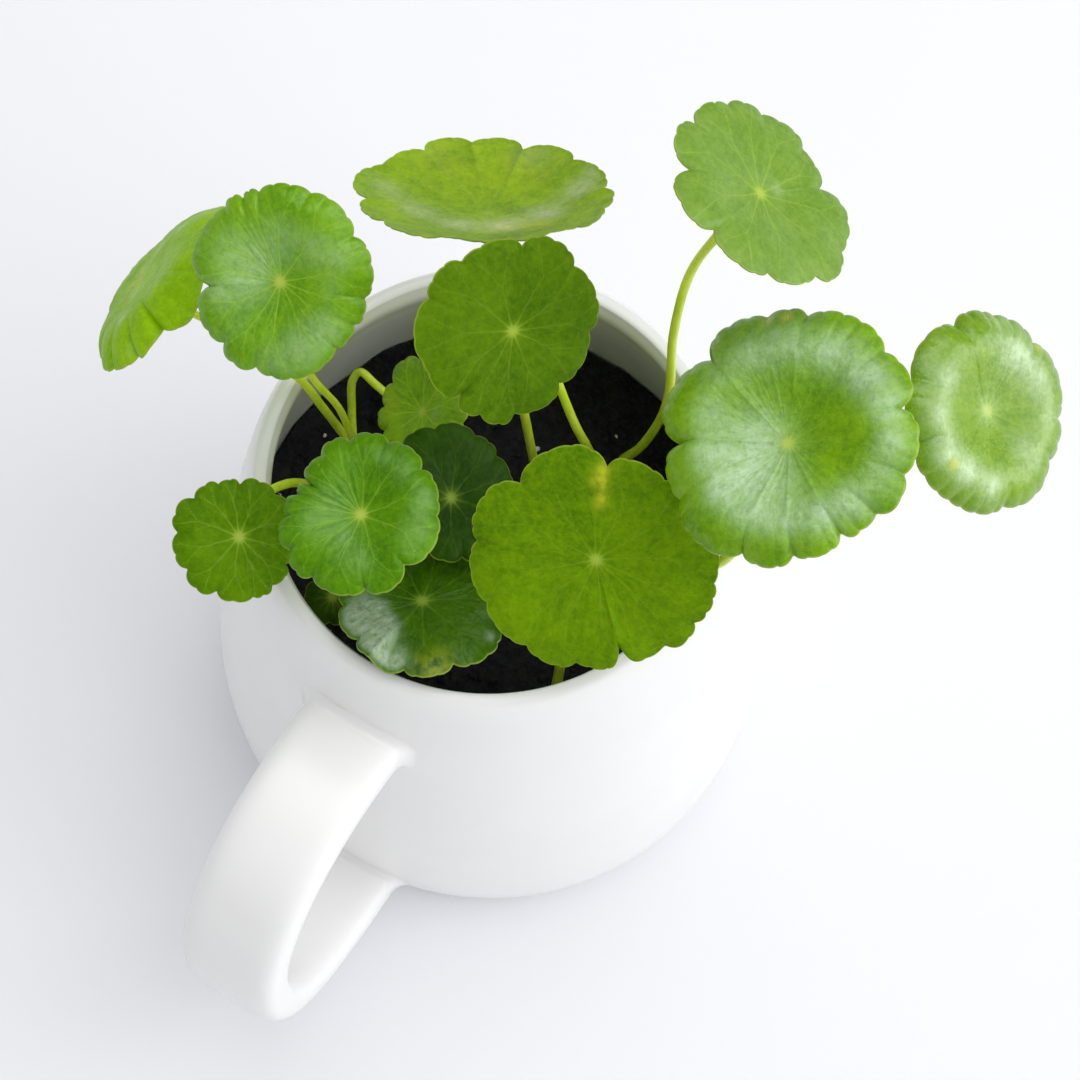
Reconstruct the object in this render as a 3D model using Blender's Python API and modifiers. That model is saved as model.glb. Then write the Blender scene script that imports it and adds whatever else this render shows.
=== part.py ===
"""Aquatic pennywort growing in a white ceramic mug.

The mug stands on z = 0 with its axis on the world's Z axis. Every leaf blade and every leaf
stalk is a piece of its own, and the potting soil fills the mug up to a sloping surface.
Lengths in the tables are in millimetres and become metres through MM.
"""

from math import cos, degrees, exp, pi, radians, sin

import bmesh
import bpy
from mathutils import Vector

MM = 0.001
WELD = 0.00001

# Mug body: outer radius at each height, then the wall
MUG_HEIGHT = 100
MUG_OUTER = ((0, 43.5), (1.2, 46.6), (4, 49.2), (10, 51.1), (20, 52.1), (30, 52.0), (42, 50.7),
             (56, 48.5), (70, 46.3), (82, 44.4), (91, 42.6), (96.5, 41.2), (99.2, 40.0))
WALL = 4.1
LIP_WALL = 2.6
LIP_ROUND = 0.8
FLOOR_THICKNESS = 6
INNER_HEIGHTS = (97, 90, 78, 64, 50, 34, 20, 11)
MUG_SEGMENTS = 48

# Handle: a flat strap in one upright plane, given as distance from the axis and height
HANDLE_AZIMUTH = -119
HANDLE_WIDTH = 19
HANDLE_THICKNESS = 8.4
HANDLE_ROUTE = ((42, 79), (50, 82.5), (60, 84), (70, 81.5), (78, 75.5), (84, 65), (86, 51),
                (84.5, 38), (80, 28), (72, 20), (60, 14.5), (47, 12))
HANDLE_FLARE = 1.12
HANDLE_FLARE_POINTS = 3
HANDLE_ROUNDING = 0.8
HANDLE_BITE = 2.5
HANDLE_BITE_HEIGHTS = (96, 84, 70, 50, 30, 14, 5)

# Soil: level on the axis, and how far it falls for each millimetre towards +X
SOIL_LEVEL = 70
SOIL_FALL = 0.176
SOIL_GAP = 0.6
SOIL_HEIGHTS = (7, 14, 26, 45, 64, 92)
SOIL_SEGMENTS = 32
SOIL_CUT_SIDE = 160
SOIL_CUT_DEPTH = 60

# Leaves and their stalks
LEAF_THICKNESS = 0.8
LEAF_RINGS = (0.62, 1.0)
LOBE_STEPS = (0.0, 0.28, 0.72)
LOBE_POWER = 3
TOUCH_GAP = 0.3
STALK_RADIUS = 0.85
STALK_STEPS = 3
END_SLANT = 0.6

# Each leaf: hub = where the stalk meets the blade, tilt from level and the compass direction it
# leans to, ring = how far the blade bulges up around its sunken hub, edge = height of its margin
# over the hub, lobes = (angle and radius of a notch, radius of the lobe that follows it),
# flaps = (angle, half its spread, how far the margin lifts there), stalk = points from the soil
# to just below the hub
LEAVES = {
    "far_left": dict(
        hub=(-58.0, 25.0, 118), tilt=57, lean=154, ring=1.0, edge=-3.0,
        lobes=((12, 17.8, 19.0), (48, 18.4, 19.2), (80, 17.9, 18.0), (118, 16.4, 16.7),
               (150, 15.3, 15.6), (190, 14.3, 14.8), (225, 13.8, 14.8), (256, 13.6, 15.6),
               (284, 13.4, 17.8), (326, 16.4, 18.1)),
        flaps=((303, 17, -2.1), (262, 20, -1.0)),
        stalk=((-24.2, 14), (-26.2, 15.1, 80), (-29.3, 14.7, 94), (-32.8, 15.7, 104),
               (-42.4, 20.3, 110)),
        thick=0.95),
    "upper_left": dict(
        hub=(-32.6, 14.3, 144), tilt=34, lean=229, ring=1.6, edge=0,
        lobes=((31, 14.4, 15.5), (70, 14.8, 15.2), (106, 14.4, 15.1), (118, 14.4, 15.6),
               (131, 15.2, 15.8), (185, 12.6, 15.1), (226, 14.0, 15.2), (254, 14.2, 15.2),
               (315, 14.0, 14.6), (334, 14.0, 15.0), (352, 14.6, 16.0)),
        stalk=((-21.9, 11.4), (-24.2, 11, 90), (-25.9, 11.4, 102), (-29.4, 11.4, 114),
               (-31.5, 11.7, 132)),
        thick=0.8),
    "back": dict(
        hub=(-1.1, 30.4, 138), tilt=38, lean=91, ring=0.6, edge=4.0,
        lobes=((5, 18.6, 19.5), (44, 18.7, 20.5), (73, 17.6, 20.6), (100, 19.4, 21.6),
               (125, 19.1, 20.4), (150, 20.2, 21.6), (190, 19.2, 21.0), (216, 19.6, 20.5),
               (250, 19.2, 19.2), (285, 17.8, 19.0), (320, 18.6, 19.8), (344, 19.2, 20.0)),
        stalk=((19, 14), (17, 13, 82), (14, 12.5, 96), (10.5, 14, 112), (3.5, 24, 130))),
    "centre": dict(
        hub=(3.7, 4.5, 150), tilt=44, lean=302, ring=0.5, edge=-0.8,
        lobes=((355, 13.0, 14.6), (43, 13.8, 15.2), (84, 13.2, 14.4), (127, 14.0, 15.4),
               (157, 14.4, 15.5), (195, 14.8, 14.6), (231, 12.4, 14.6), (251, 14.0, 15.0),
               (274, 13.5, 13.9), (312, 12.3, 13.4)),
        stalk=((8, 13), (7, 13, 80), (5.5, 12, 100), (3.5, 9, 130))),
    "upper_right": dict(
        hub=(39.5, 19.7, 168), tilt=34, lean=16, ring=0.8, edge=0.2,
        lobes=((28, 13.0, 14.2), (56, 14.4, 15.8), (88, 15.4, 16.1), (113, 15.2, 15.6),
               (147, 14.1, 16.1), (188, 13.2, 17.0), (231, 13.6, 15.6), (275, 14.2, 15.4),
               (312, 14.8, 16.8), (345, 16.0, 16.7)),
        stalk=((23.5, 17.8), (26.3, 17.5, 74), (28.8, 16.8, 87), (29.8, 15.6, 102),
               (29.2, 15.6, 128), (30.7, 16.5, 148), (34, 17, 159.5))),
    "big_right": dict(
        hub=(45.1, -13.2, 152), tilt=22, lean=194, ring=2.6, edge=-0.4,
        lobes=((13, 17.7, 20.5), (42, 19.7, 21.4), (82, 20.2, 21.3), (100, 20.9, 21.8),
               (131, 19.0, 21.0), (176, 17.2, 19.3), (204, 18.6, 20.0), (247, 18.0, 19.1),
               (273, 17.4, 18.3), (299, 16.6, 18.1), (319, 17.8, 19.5), (341, 18.5, 19.8)),
        stalk=((27, -6), (29, -9, 88), (32.5, -13.5, 104), (37.5, -20, 118), (43.5, -17, 138)),
        thick=1.2),
    "far_right": dict(
        hub=(77.3, -0.9, 138), tilt=34, lean=334, ring=2.6, edge=-0.6,
        lobes=((0, 15.1, 16.1), (53, 14.6, 15.6), (85, 15.3, 15.7), (117, 14.2, 15.8),
               (165, 15.0, 15.6), (204, 15.1, 16.2), (245, 15.9, 16.1), (286, 15.2, 16.2),
               (332, 15.0, 15.7)),
        stalk=((22, 2), (25, 1, 86), (31, -1, 104), (44, -2, 119), (62, -0.5, 129)), thick=1.1),
    "big_front": dict(
        hub=(17.6, -23.9, 128), tilt=45, lean=264, ring=1.0, edge=0.6,
        lobes=((25, 18.0, 18.6), (55, 17.8, 18.2), (86, 16.3, 19.9), (134, 17.5, 20.5),
               (173, 18.8, 19.8), (206, 18.9, 19.5), (236, 18.7, 19.6), (262, 18.2, 18.5),
               (287, 14.6, 18.4), (310, 18.1, 19.5), (329, 18.8, 19.5), (352, 18.9, 19.2)),
        stalk=((12.5, -27), (13, -26, 80), (15, -21.5, 102), (17.5, -18.5, 118)), thick=1.1),
    "left": dict(
        hub=(-19.3, -16.9, 126), tilt=18, lean=195, ring=1.6, edge=0,
        lobes=((35, 12.0, 13.1), (71, 12.5, 13.5), (102, 12.7, 13.7), (126, 12.7, 12.9),
               (149, 10.7, 12.3), (160, 12.0, 13.4), (178, 12.9, 14.1), (203, 13.1, 13.9),
               (231, 12.6, 13.3), (276, 12.3, 13.7), (312, 12.0, 13.6), (356, 12.8, 13.1)),
        stalk=((-17, -8), (-19, -9.5, 86), (-22, -13, 104), (-20.5, -15.5, 118))),
    "small_left": dict(
        hub=(-39.8, -16.1, 112), tilt=22, lean=292, ring=0.6, edge=-0.4,
        lobes=((51, 9.3, 9.8), (91, 8.7, 9.5), (113, 9.4, 10.2), (141, 9.8, 11.2),
               (178, 10.1, 10.9), (214, 10.1, 11.1), (249, 9.7, 10.7), (285, 10.3, 10.5),
               (306, 9.7, 10.0), (331, 8.9, 9.8), (8, 9.2, 9.8)),
        stalk=((-26, 5), (-30, 3, 86), (-34, -2, 100), (-38, -8, 107))),
    "young": dict(
        hub=(-12.0, 13.2, 97), tilt=42, lean=188, ring=1.0, edge=-0.6,
        lobes=((20, 9.6, 10.4), (62, 9.8, 10.8), (100, 10.2, 11.4), (138, 9.6, 10.4),
               (165, 9.8, 11.0), (190, 10.0, 10.9), (225, 9.8, 10.8), (262, 9.6, 10.4),
               (300, 9.4, 10.2), (340, 9.4, 10.0)),
        stalk=((-25.2, 16.8), (-25.3, 20.2, 80), (-25, 23.4, 86), (-23.5, 24, 88.4),
               (-20.7, 21.8, 88), (-14, 16.5, 88), (-9.8, 14, 91.5)), thick=0.95),
    "shaded": dict(
        hub=(-6.0, -6.6, 108), tilt=27, lean=344, ring=0.8, edge=-0.4,
        lobes=((10, 11.2, 12.2), (46, 11.7, 12.4), (70, 12.0, 12.9), (105, 12.0, 12.6),
               (140, 11.6, 12.3), (175, 11.4, 12.2), (212, 11.2, 12.0), (250, 10.2, 10.8),
               (285, 10.2, 11.2), (328, 10.8, 11.8)),
        stalk=((-9, -2), (-9, -3, 84), (-8, -4.5, 96))),
    "low_front": dict(
        hub=(-10.2, -22.4, 101.5), tilt=16, lean=92, ring=0.8, edge=-0.6,
        lobes=((20, 13.6, 14.4), (58, 13.4, 14.2), (95, 13.4, 14.3), (135, 13.5, 14.3),
               (184, 13.2, 14.2), (220, 13.4, 15.0), (260, 13.6, 14.8), (295, 13.4, 15.2),
               (340, 14.0, 14.8)),
        flaps=((222, 24, 1.6),),
        stalk=((-5, -16), (-6, -17.5, 84), (-9, -21, 94))),
    "sprout": dict(
        hub=(-26.6, -15.5, 82), tilt=16, lean=220, ring=0.2, edge=-0.2,
        lobes=((15, 4.6, 5.1), (75, 4.7, 5.2), (140, 4.6, 5.1), (205, 4.7, 5.2),
               (265, 4.6, 5.1), (320, 4.5, 5.0)),
        stalk=((-25, -12.5), (-25.8, -13.8, 78))),
}

# Colours, and how rough each surface is
WHITE_GLAZE = (0.87, 0.86, 0.84, 1)
POTTING_SOIL = (0.012, 0.011, 0.012, 1)
LEAF_GREENS = {"shaded": (0.05, 0.14, 0.01, 1), "low_front": (0.08, 0.22, 0.01, 1),
               "sprout": (0.04, 0.11, 0.01, 1), "centre": (0.11, 0.24, 0.02, 1),
               "big_front": (0.15, 0.28, 0.01, 1)}
LEAF_GREEN = (0.15, 0.36, 0.03, 1)
STALK_GREEN = (0.32, 0.48, 0.06, 1)
GLAZE_ROUGHNESS = 0.12
SOIL_ROUGHNESS = 0.95
LEAF_ROUGHNESS = 0.4
STALK_ROUGHNESS = 0.45
SHARP_BODY_ANGLE = 50
SHARP_LEAF_ANGLE = 40


def clear_scene():
    for item in list(bpy.data.objects):
        bpy.data.objects.remove(item, do_unlink=True)


def new_collection(name):
    collection = bpy.data.collections.new(name)
    bpy.context.scene.collection.children.link(collection)
    return collection


def material(name, colour, roughness):
    made = bpy.data.materials.new(name)
    made.use_nodes = True
    shader = made.node_tree.nodes["Principled BSDF"]
    shader.inputs["Base Color"].default_value = colour
    shader.inputs["Roughness"].default_value = roughness
    shader.inputs["Metallic"].default_value = 0.0
    return made


def place(name, data, collection, *materials):
    piece = bpy.data.objects.new(name, data)
    collection.objects.link(piece)
    for finish in materials:
        data.materials.append(finish)
    return piece


def smooth(mesh, angle):
    mesh.shade_smooth()
    mesh.set_sharp_from_angle(angle=radians(angle))


def spline_points(points, steps):
    """Points along a smooth curve that passes through every given point."""
    ends = [points[0] * 2 - points[1], *points, points[-1] * 2 - points[-2]]
    found = []
    for before, start, end, after in zip(ends, ends[1:], ends[2:], ends[3:]):
        for step in range(steps):
            t = step / steps
            found.append(0.5 * (2 * start + (end - before) * t
                                + (2 * before - 5 * start + 4 * end - after) * t ** 2
                                + (3 * start - before - 3 * end + after) * t ** 3))
    return found + [points[-1].copy()]


def mug_radius(height):
    """Outer radius of the mug at a height, in millimetres."""
    for (low, low_radius), (high, high_radius) in zip(MUG_OUTER, MUG_OUTER[1:]):
        if height <= high:
            share = (height - low) / (high - low)
            return low_radius + (high_radius - low_radius) * share
    return MUG_OUTER[-1][1]


def turned(name, profile, segments, collection):
    """A solid of revolution from (radius, height) points that run down the outer side."""
    mesh = bpy.data.meshes.new(name)
    points = [(radius * MM, 0, height * MM) for radius, height in profile]
    mesh.from_pydata(points, [(i, i + 1) for i in range(len(points) - 1)], [])
    piece = place(name, mesh, collection)
    screw = piece.modifiers.new("Turn", "SCREW")
    screw.axis = "Z"
    screw.angle = 2 * pi
    screw.steps = segments
    screw.render_steps = segments
    screw.use_merge_vertices = True
    screw.merge_threshold = WELD
    return piece


def to_mesh(piece, collection):
    """The evaluated piece as a plain closed mesh object under the same name."""
    evaluated = piece.evaluated_get(bpy.context.evaluated_depsgraph_get())
    mesh = bpy.data.meshes.new_from_object(evaluated)
    name = piece.name
    matrix = piece.matrix_world.copy()
    bpy.data.objects.remove(piece, do_unlink=True)
    work = bmesh.new()
    work.from_mesh(mesh)
    bmesh.ops.remove_doubles(work, verts=work.verts, dist=WELD)
    bmesh.ops.recalc_face_normals(work, faces=work.faces)
    work.to_mesh(mesh)
    work.free()
    made = place(name, mesh, collection)
    made.matrix_world = matrix
    return made


def boolean(piece, other, operation):
    modifier = piece.modifiers.new(operation.title(), "BOOLEAN")
    modifier.operation = operation
    modifier.solver = "EXACT"
    modifier.object = other


def hide_cutter(piece):
    piece.hide_render = True
    piece.display_type = "WIRE"


def mug_profile():
    """From the centre of the inner floor up the inside, over the lip and down the outside."""
    lip_radius = MUG_OUTER[-1][1]
    inside = [(mug_radius(z) - WALL, z) for z in INNER_HEIGHTS]
    floor = [(mug_radius(FLOOR_THICKNESS) - 2 * WALL, FLOOR_THICKNESS), (0, FLOOR_THICKNESS)]
    lip = [(lip_radius - LIP_ROUND, MUG_HEIGHT), (lip_radius - LIP_WALL + LIP_ROUND, MUG_HEIGHT),
           (lip_radius - LIP_WALL, MUG_HEIGHT - LIP_ROUND)]
    outside = [(radius, height) for height, radius in reversed(MUG_OUTER)]
    return [*reversed(floor), *reversed(inside), *reversed(lip), *outside, (0, 0)]


def handle_strap(collection, guides):
    """A flat strap with rounded edges that follows the handle's route."""
    section = bpy.data.curves.new("handle_section", "CURVE")
    section.dimensions = "2D"
    corner = HANDLE_THICKNESS / 2 * HANDLE_ROUNDING
    outline = section.splines.new("POLY")
    corners = [(x * (HANDLE_THICKNESS / 2 - corner), y * (HANDLE_WIDTH / 2 - corner), start)
               for x, y, start in ((1, 1, 0), (-1, 1, 90), (-1, -1, 180), (1, -1, 270))]
    points = [(x + corner * cos(radians(start + turn)), y + corner * sin(radians(start + turn)))
              for x, y, start in corners for turn in (0, 45, 90)]
    outline.points.add(len(points) - 1)
    for point, (x, y) in zip(outline.points, points):
        point.co = (x * MM, y * MM, 0, 1)
    outline.use_cyclic_u = True
    profile = place("handle_section", section, guides)
    hide_cutter(profile)

    path = bpy.data.curves.new("handle", "CURVE")
    path.dimensions = "2D"
    path.fill_mode = "NONE"
    path.bevel_mode = "OBJECT"
    path.bevel_object = profile
    path.use_fill_caps = True
    route = spline_points([Vector((r, z)) * MM for r, z in HANDLE_ROUTE], 2)
    line = path.splines.new("POLY")
    line.points.add(len(route) - 1)
    for index, (point, spot) in enumerate(zip(line.points, route)):
        near_end = max(0.0, 1 - min(index, len(route) - 1 - index) / HANDLE_FLARE_POINTS)
        point.co = (*spot, 0, 1)
        point.radius = 1 + (HANDLE_FLARE - 1) * near_end
    handle = place("handle", path, collection)
    handle.rotation_euler = (pi / 2, 0, radians(HANDLE_AZIMUTH))
    bpy.context.view_layer.update()
    return handle


def build_mug(parts, guides):
    """Body and handle, fired as one piece of glazed ceramic."""
    body = turned("mug_body", mug_profile(), MUG_SEGMENTS, parts)
    body = to_mesh(body, parts)
    body.name = "mug"
    handle = to_mesh(handle_strap(parts, guides), guides)
    handle.name = "handle_blank"
    hide_cutter(handle)

    # The strap's ends are trimmed to the inside of the wall before the two are joined
    core_profile = [(0, HANDLE_BITE_HEIGHTS[0])]
    core_profile += [(mug_radius(z) - HANDLE_BITE, z) for z in HANDLE_BITE_HEIGHTS]
    core_profile += [(0, HANDLE_BITE_HEIGHTS[-1])]
    core = to_mesh(turned("handle_trim", core_profile, MUG_SEGMENTS, guides), guides)
    core.name = "handle_trim"
    hide_cutter(core)
    boolean(handle, core, "DIFFERENCE")
    boolean(body, handle, "UNION")
    body.data.materials.append(material("white_glaze", WHITE_GLAZE, GLAZE_ROUGHNESS))
    smooth(body.data, SHARP_BODY_ANGLE)
    return body


def soil_height(x):
    return SOIL_LEVEL - SOIL_FALL * x


def build_soil(parts, guides):
    """Potting soil that fills the mug, cut off along its sloping surface."""
    reach = WALL + SOIL_GAP
    profile = [(0, SOIL_HEIGHTS[-1])]
    profile += [(mug_radius(z) - reach, z) for z in reversed(SOIL_HEIGHTS[1:])]
    profile += [(mug_radius(SOIL_HEIGHTS[0]) - 2 * reach, SOIL_HEIGHTS[0]), (0, SOIL_HEIGHTS[0])]
    soil = to_mesh(turned("soil_blank", profile, SOIL_SEGMENTS, parts), parts)
    soil.name = "soil"

    block = bpy.data.meshes.new("soil_cut")
    work = bmesh.new()
    bmesh.ops.create_cube(work, size=1)
    side, depth = SOIL_CUT_SIDE * MM, SOIL_CUT_DEPTH * MM
    for corner in work.verts:
        x, y = corner.co.x * side, corner.co.y * side
        corner.co = (x, y, soil_height(x / MM) * MM + (corner.co.z + 0.5) * depth)
    work.to_mesh(block)
    work.free()
    cutter = place("soil_cut", block, guides)
    hide_cutter(cutter)
    boolean(soil, cutter, "DIFFERENCE")
    soil.data.materials.append(material("potting_soil", POTTING_SOIL, SOIL_ROUGHNESS))
    return soil


def leaf_axes(leaf):
    """The blade's own axes: across, along and out of its upper face."""
    tilt, lean = radians(leaf["tilt"]), radians(leaf["lean"])
    up = Vector((sin(tilt) * cos(lean), sin(tilt) * sin(lean), cos(tilt)))
    across = (Vector((1, 0, 0)) - up * up.x).normalized()
    return across, up.cross(across), up


def lobe_outline(leaf):
    """(angle, radius) of points around the blade: a notch and two shoulders for each lobe."""
    lobes = leaf["lobes"]
    outline = []
    for (start, notch, tip), (end, next_notch, _) in zip(lobes, lobes[1:] + lobes[:1]):
        span = (end - start) % 360
        for step in LOBE_STEPS:
            base = notch + (next_notch - notch) * step
            swell = 1 - abs(2 * step - 1) ** LOBE_POWER
            outline.append((radians(start + span * step), base + (tip - base) * swell))
    return outline


def blade_height(leaf, angle, share):
    """Height over the hub at a share of the way to the margin: sunken hub, raised ring, flaps."""
    height = leaf["ring"] * 4 * share ** 2 * (1 - share ** 2) + leaf["edge"] * share ** 3
    for centre, half, lift in leaf.get("flaps", ()):
        turn = (degrees(angle) - centre + 180) % 360 - 180
        height += lift * exp(-(turn / half) ** 2) * share ** 4
    return height


def build_blade(name, leaf, parts):
    """A round blade with a notched margin, lofted in rings from its hub and thickened."""
    across, along, up = leaf_axes(leaf)
    hub = Vector(leaf["hub"])
    outline = lobe_outline(leaf)
    work = bmesh.new()
    centre = work.verts.new(hub * MM)
    rings = []
    for share in LEAF_RINGS:
        spots = [hub + up * blade_height(leaf, a, share)
                 + (across * cos(a) + along * sin(a)) * r * share for a, r in outline]
        rings.append([work.verts.new(spot * MM) for spot in spots])
    count = len(outline)
    for i in range(count):
        j = (i + 1) % count
        work.faces.new((centre, rings[0][i], rings[0][j]))
        for inner, outer in zip(rings, rings[1:]):
            work.faces.new((inner[i], outer[i], outer[j], inner[j]))
    mesh = bpy.data.meshes.new(f"leaf_{name}")
    work.to_mesh(mesh)
    work.free()
    smooth(mesh, SHARP_LEAF_ANGLE)
    green = material(f"green_{name}", LEAF_GREENS.get(name, LEAF_GREEN), LEAF_ROUGHNESS)
    blade = place(f"leaf_{name}", mesh, parts, green)
    thicken = blade.modifiers.new("Thickness", "SOLIDIFY")
    thicken.thickness = LEAF_THICKNESS * MM
    thicken.offset = 0
    return blade


def build_stalk(name, leaf, parts, finish):
    """The leaf's own stalk, from just above the soil to just under the blade's hub."""
    up = leaf_axes(leaf)[2]
    radius = STALK_RADIUS * leaf.get("thick", 1)
    (foot_x, foot_y), *middle = leaf["stalk"]
    foot = Vector((foot_x, foot_y, soil_height(foot_x) + TOUCH_GAP + radius * END_SLANT))
    top = Vector(leaf["hub"]) - up * (LEAF_THICKNESS / 2 + TOUCH_GAP + radius * END_SLANT)
    stations = [foot, *map(Vector, middle), top]
    route = [point * MM for point in spline_points(stations, STALK_STEPS)]
    curve = bpy.data.curves.new(f"stalk_{name}", "CURVE")
    curve.dimensions = "3D"
    curve.bevel_depth = radius * MM
    curve.bevel_resolution = 2
    curve.use_fill_caps = True
    line = curve.splines.new("POLY")
    line.points.add(len(route) - 1)
    for point, spot in zip(line.points, route):
        point.co = (*spot, 1)
    return place(f"stalk_{name}", curve, parts, finish)


def main():
    clear_scene()
    parts = new_collection("aquatic_pennywort")
    guides = new_collection("cutters")
    build_mug(parts, guides)
    build_soil(parts, guides)
    stalk_finish = material("stalk_green", STALK_GREEN, STALK_ROUGHNESS)
    for name, leaf in LEAVES.items():
        build_blade(name, leaf, parts)
        build_stalk(name, leaf, parts, stalk_finish)


main()
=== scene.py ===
"""Looks of the aquatic pennywort in its white mug.

Every leaf blade, stalk, the soil and the mug are made here as fine meshes in the places of the
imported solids. Lengths in the tables are in millimetres and become metres through MM. A place on a
blade is an angle in degrees, from the blade's own across axis, and a share of the way from the hub
to the margin.
"""

from math import cos, pi, radians, sin, sqrt, tau

import bmesh
import bpy
import numpy as np
from mathutils import Matrix, Vector, noise
from mathutils.kdtree import KDTree


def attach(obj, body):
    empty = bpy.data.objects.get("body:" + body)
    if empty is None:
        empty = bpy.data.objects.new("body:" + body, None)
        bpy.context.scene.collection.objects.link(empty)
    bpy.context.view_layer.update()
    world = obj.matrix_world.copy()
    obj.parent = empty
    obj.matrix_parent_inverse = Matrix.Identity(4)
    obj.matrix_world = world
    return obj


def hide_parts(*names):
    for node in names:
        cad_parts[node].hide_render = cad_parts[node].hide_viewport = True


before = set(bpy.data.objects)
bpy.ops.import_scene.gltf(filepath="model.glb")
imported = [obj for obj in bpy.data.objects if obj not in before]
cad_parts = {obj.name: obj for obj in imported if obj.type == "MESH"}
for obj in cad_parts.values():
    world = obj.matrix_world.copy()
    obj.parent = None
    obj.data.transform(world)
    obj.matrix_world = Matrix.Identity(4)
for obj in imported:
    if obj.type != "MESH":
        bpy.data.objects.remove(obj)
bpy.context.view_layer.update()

MM = 0.001

# Camera: place in millimetres, degrees below the horizon, roll, lens and sensor in millimetres
CAMERA_PLACE = (8.82, -166.52, 521.9)
CAMERA_PITCH = 69.71
CAMERA_ROLL = 1.86
CAMERA_LENS = 90
CAMERA_SENSOR = 36

# Mug
MUG_HEIGHT = 100
MUG_OUTER = ((0, 43.5), (1.2, 46.6), (4, 49.2), (10, 51.1), (20, 52.1), (30, 52.0), (42, 50.7),
             (56, 48.5), (70, 46.3), (82, 44.4), (91, 42.6), (96.5, 41.2), (99.2, 40.0))
WALL = 4.1
LIP_WALL = 2.6
FLOOR_THICKNESS = 6
INNER_HEIGHTS = (97, 90, 78, 64, 50, 34, 20, 11)
HANDLE_AZIMUTH = -119
HANDLE_WIDTH = 19
HANDLE_THICKNESS = 8.4
HANDLE_ROUTE = ((34, 76), (42, 79), (50, 82.5), (60, 84), (70, 81.5), (78, 75.5), (84, 65),
                (86, 51), (84.5, 38), (80, 28), (72, 20), (60, 14.5), (47, 12), (37, 12))
HANDLE_FILLET = 2.6
# How far the handle's ends reach into the wall
HANDLE_BITE = 2.5
SAME_POINT = 0.001

# How fine the mug's meshes are; away from its ends the handle keeps one section in HANDLE_THINNING
MUG_COLUMNS = 200
CORE_COLUMNS = 160
HANDLE_STEPS = 88
HANDLE_THINNING = 4
HANDLE_SIDES = 48

# Light of the room, and how much of it shiny surfaces mirror
ROOM_LIGHT = 0.60
ROOM_MIRRORED = 0.08
ROOM_COLOUR = (0.985, 0.992, 1.0, 1)
# Each lamp: direction from the mug, distance and height of its aim in metres, size, radiance, and
# whether only gloss sees it
LAMPS = (("key", (0.30, 0.17, 0.93), 1.3, 0.1, (1.6, 1.4), 1.25, False),
         ("side", (0.85, -0.30, 0.45), 2.4, 0.05, (2.55, 2.05), 1.4, False),
         ("mirrored_above", (-0.08, 0.24, 0.96), 1.3, 0.12, (1.15, 0.95), 1.6, True),
         ("mirrored_right", (0.92, 0.02, 0.38), 1.3, 0.12, (0.9, 0.6), 3.0, True))

# Soil: level on the axis, and how far it falls for each millimetre towards +X
SOIL_LEVEL = 70
SOIL_FALL = 0.176
SOIL_GAP = 0.6
SOIL_COLUMNS = 260
SOIL_ROWS = 88
GRAIN_REACH = 39.5
GRAIN_FLAT = 0.7
# Where the soil has sunk at the wall: azimuth, half width in degrees, and depth
SUNK_AZIMUTH = 140
SUNK_HALF = 30
SUNK_DEPTH = 8

# Leaves and their stalks
LOBE_POWER = 3
TOOTH_LENGTH = 3.1
# How fine a blade's mesh is: quarters of its columns and rows for each millimetre of radius, and
# the limits of both; the innermost ring's radius; and how many upper rings share one lower ring
QUARTER_COLUMNS_PER_MM = 5.5
COLUMN_LIMITS = (160, 440)
ROWS_PER_MM = 3.6
ROW_LIMITS = (24, 74)
HUB_RING = 0.35
RINGS_PER_LOWER = 3
BLADE_THICKNESS = 0.45
BLADE_RIDGE = 0.22
STALK_RADIUS = 0.85
STALK_STEPS = 12
STALK_SIDES = 18
# How far below the hub a stalk turns to meet the blade, and how far below it ends
STALK_NECK = 2.2
STALK_SINK = 0.5

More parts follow.
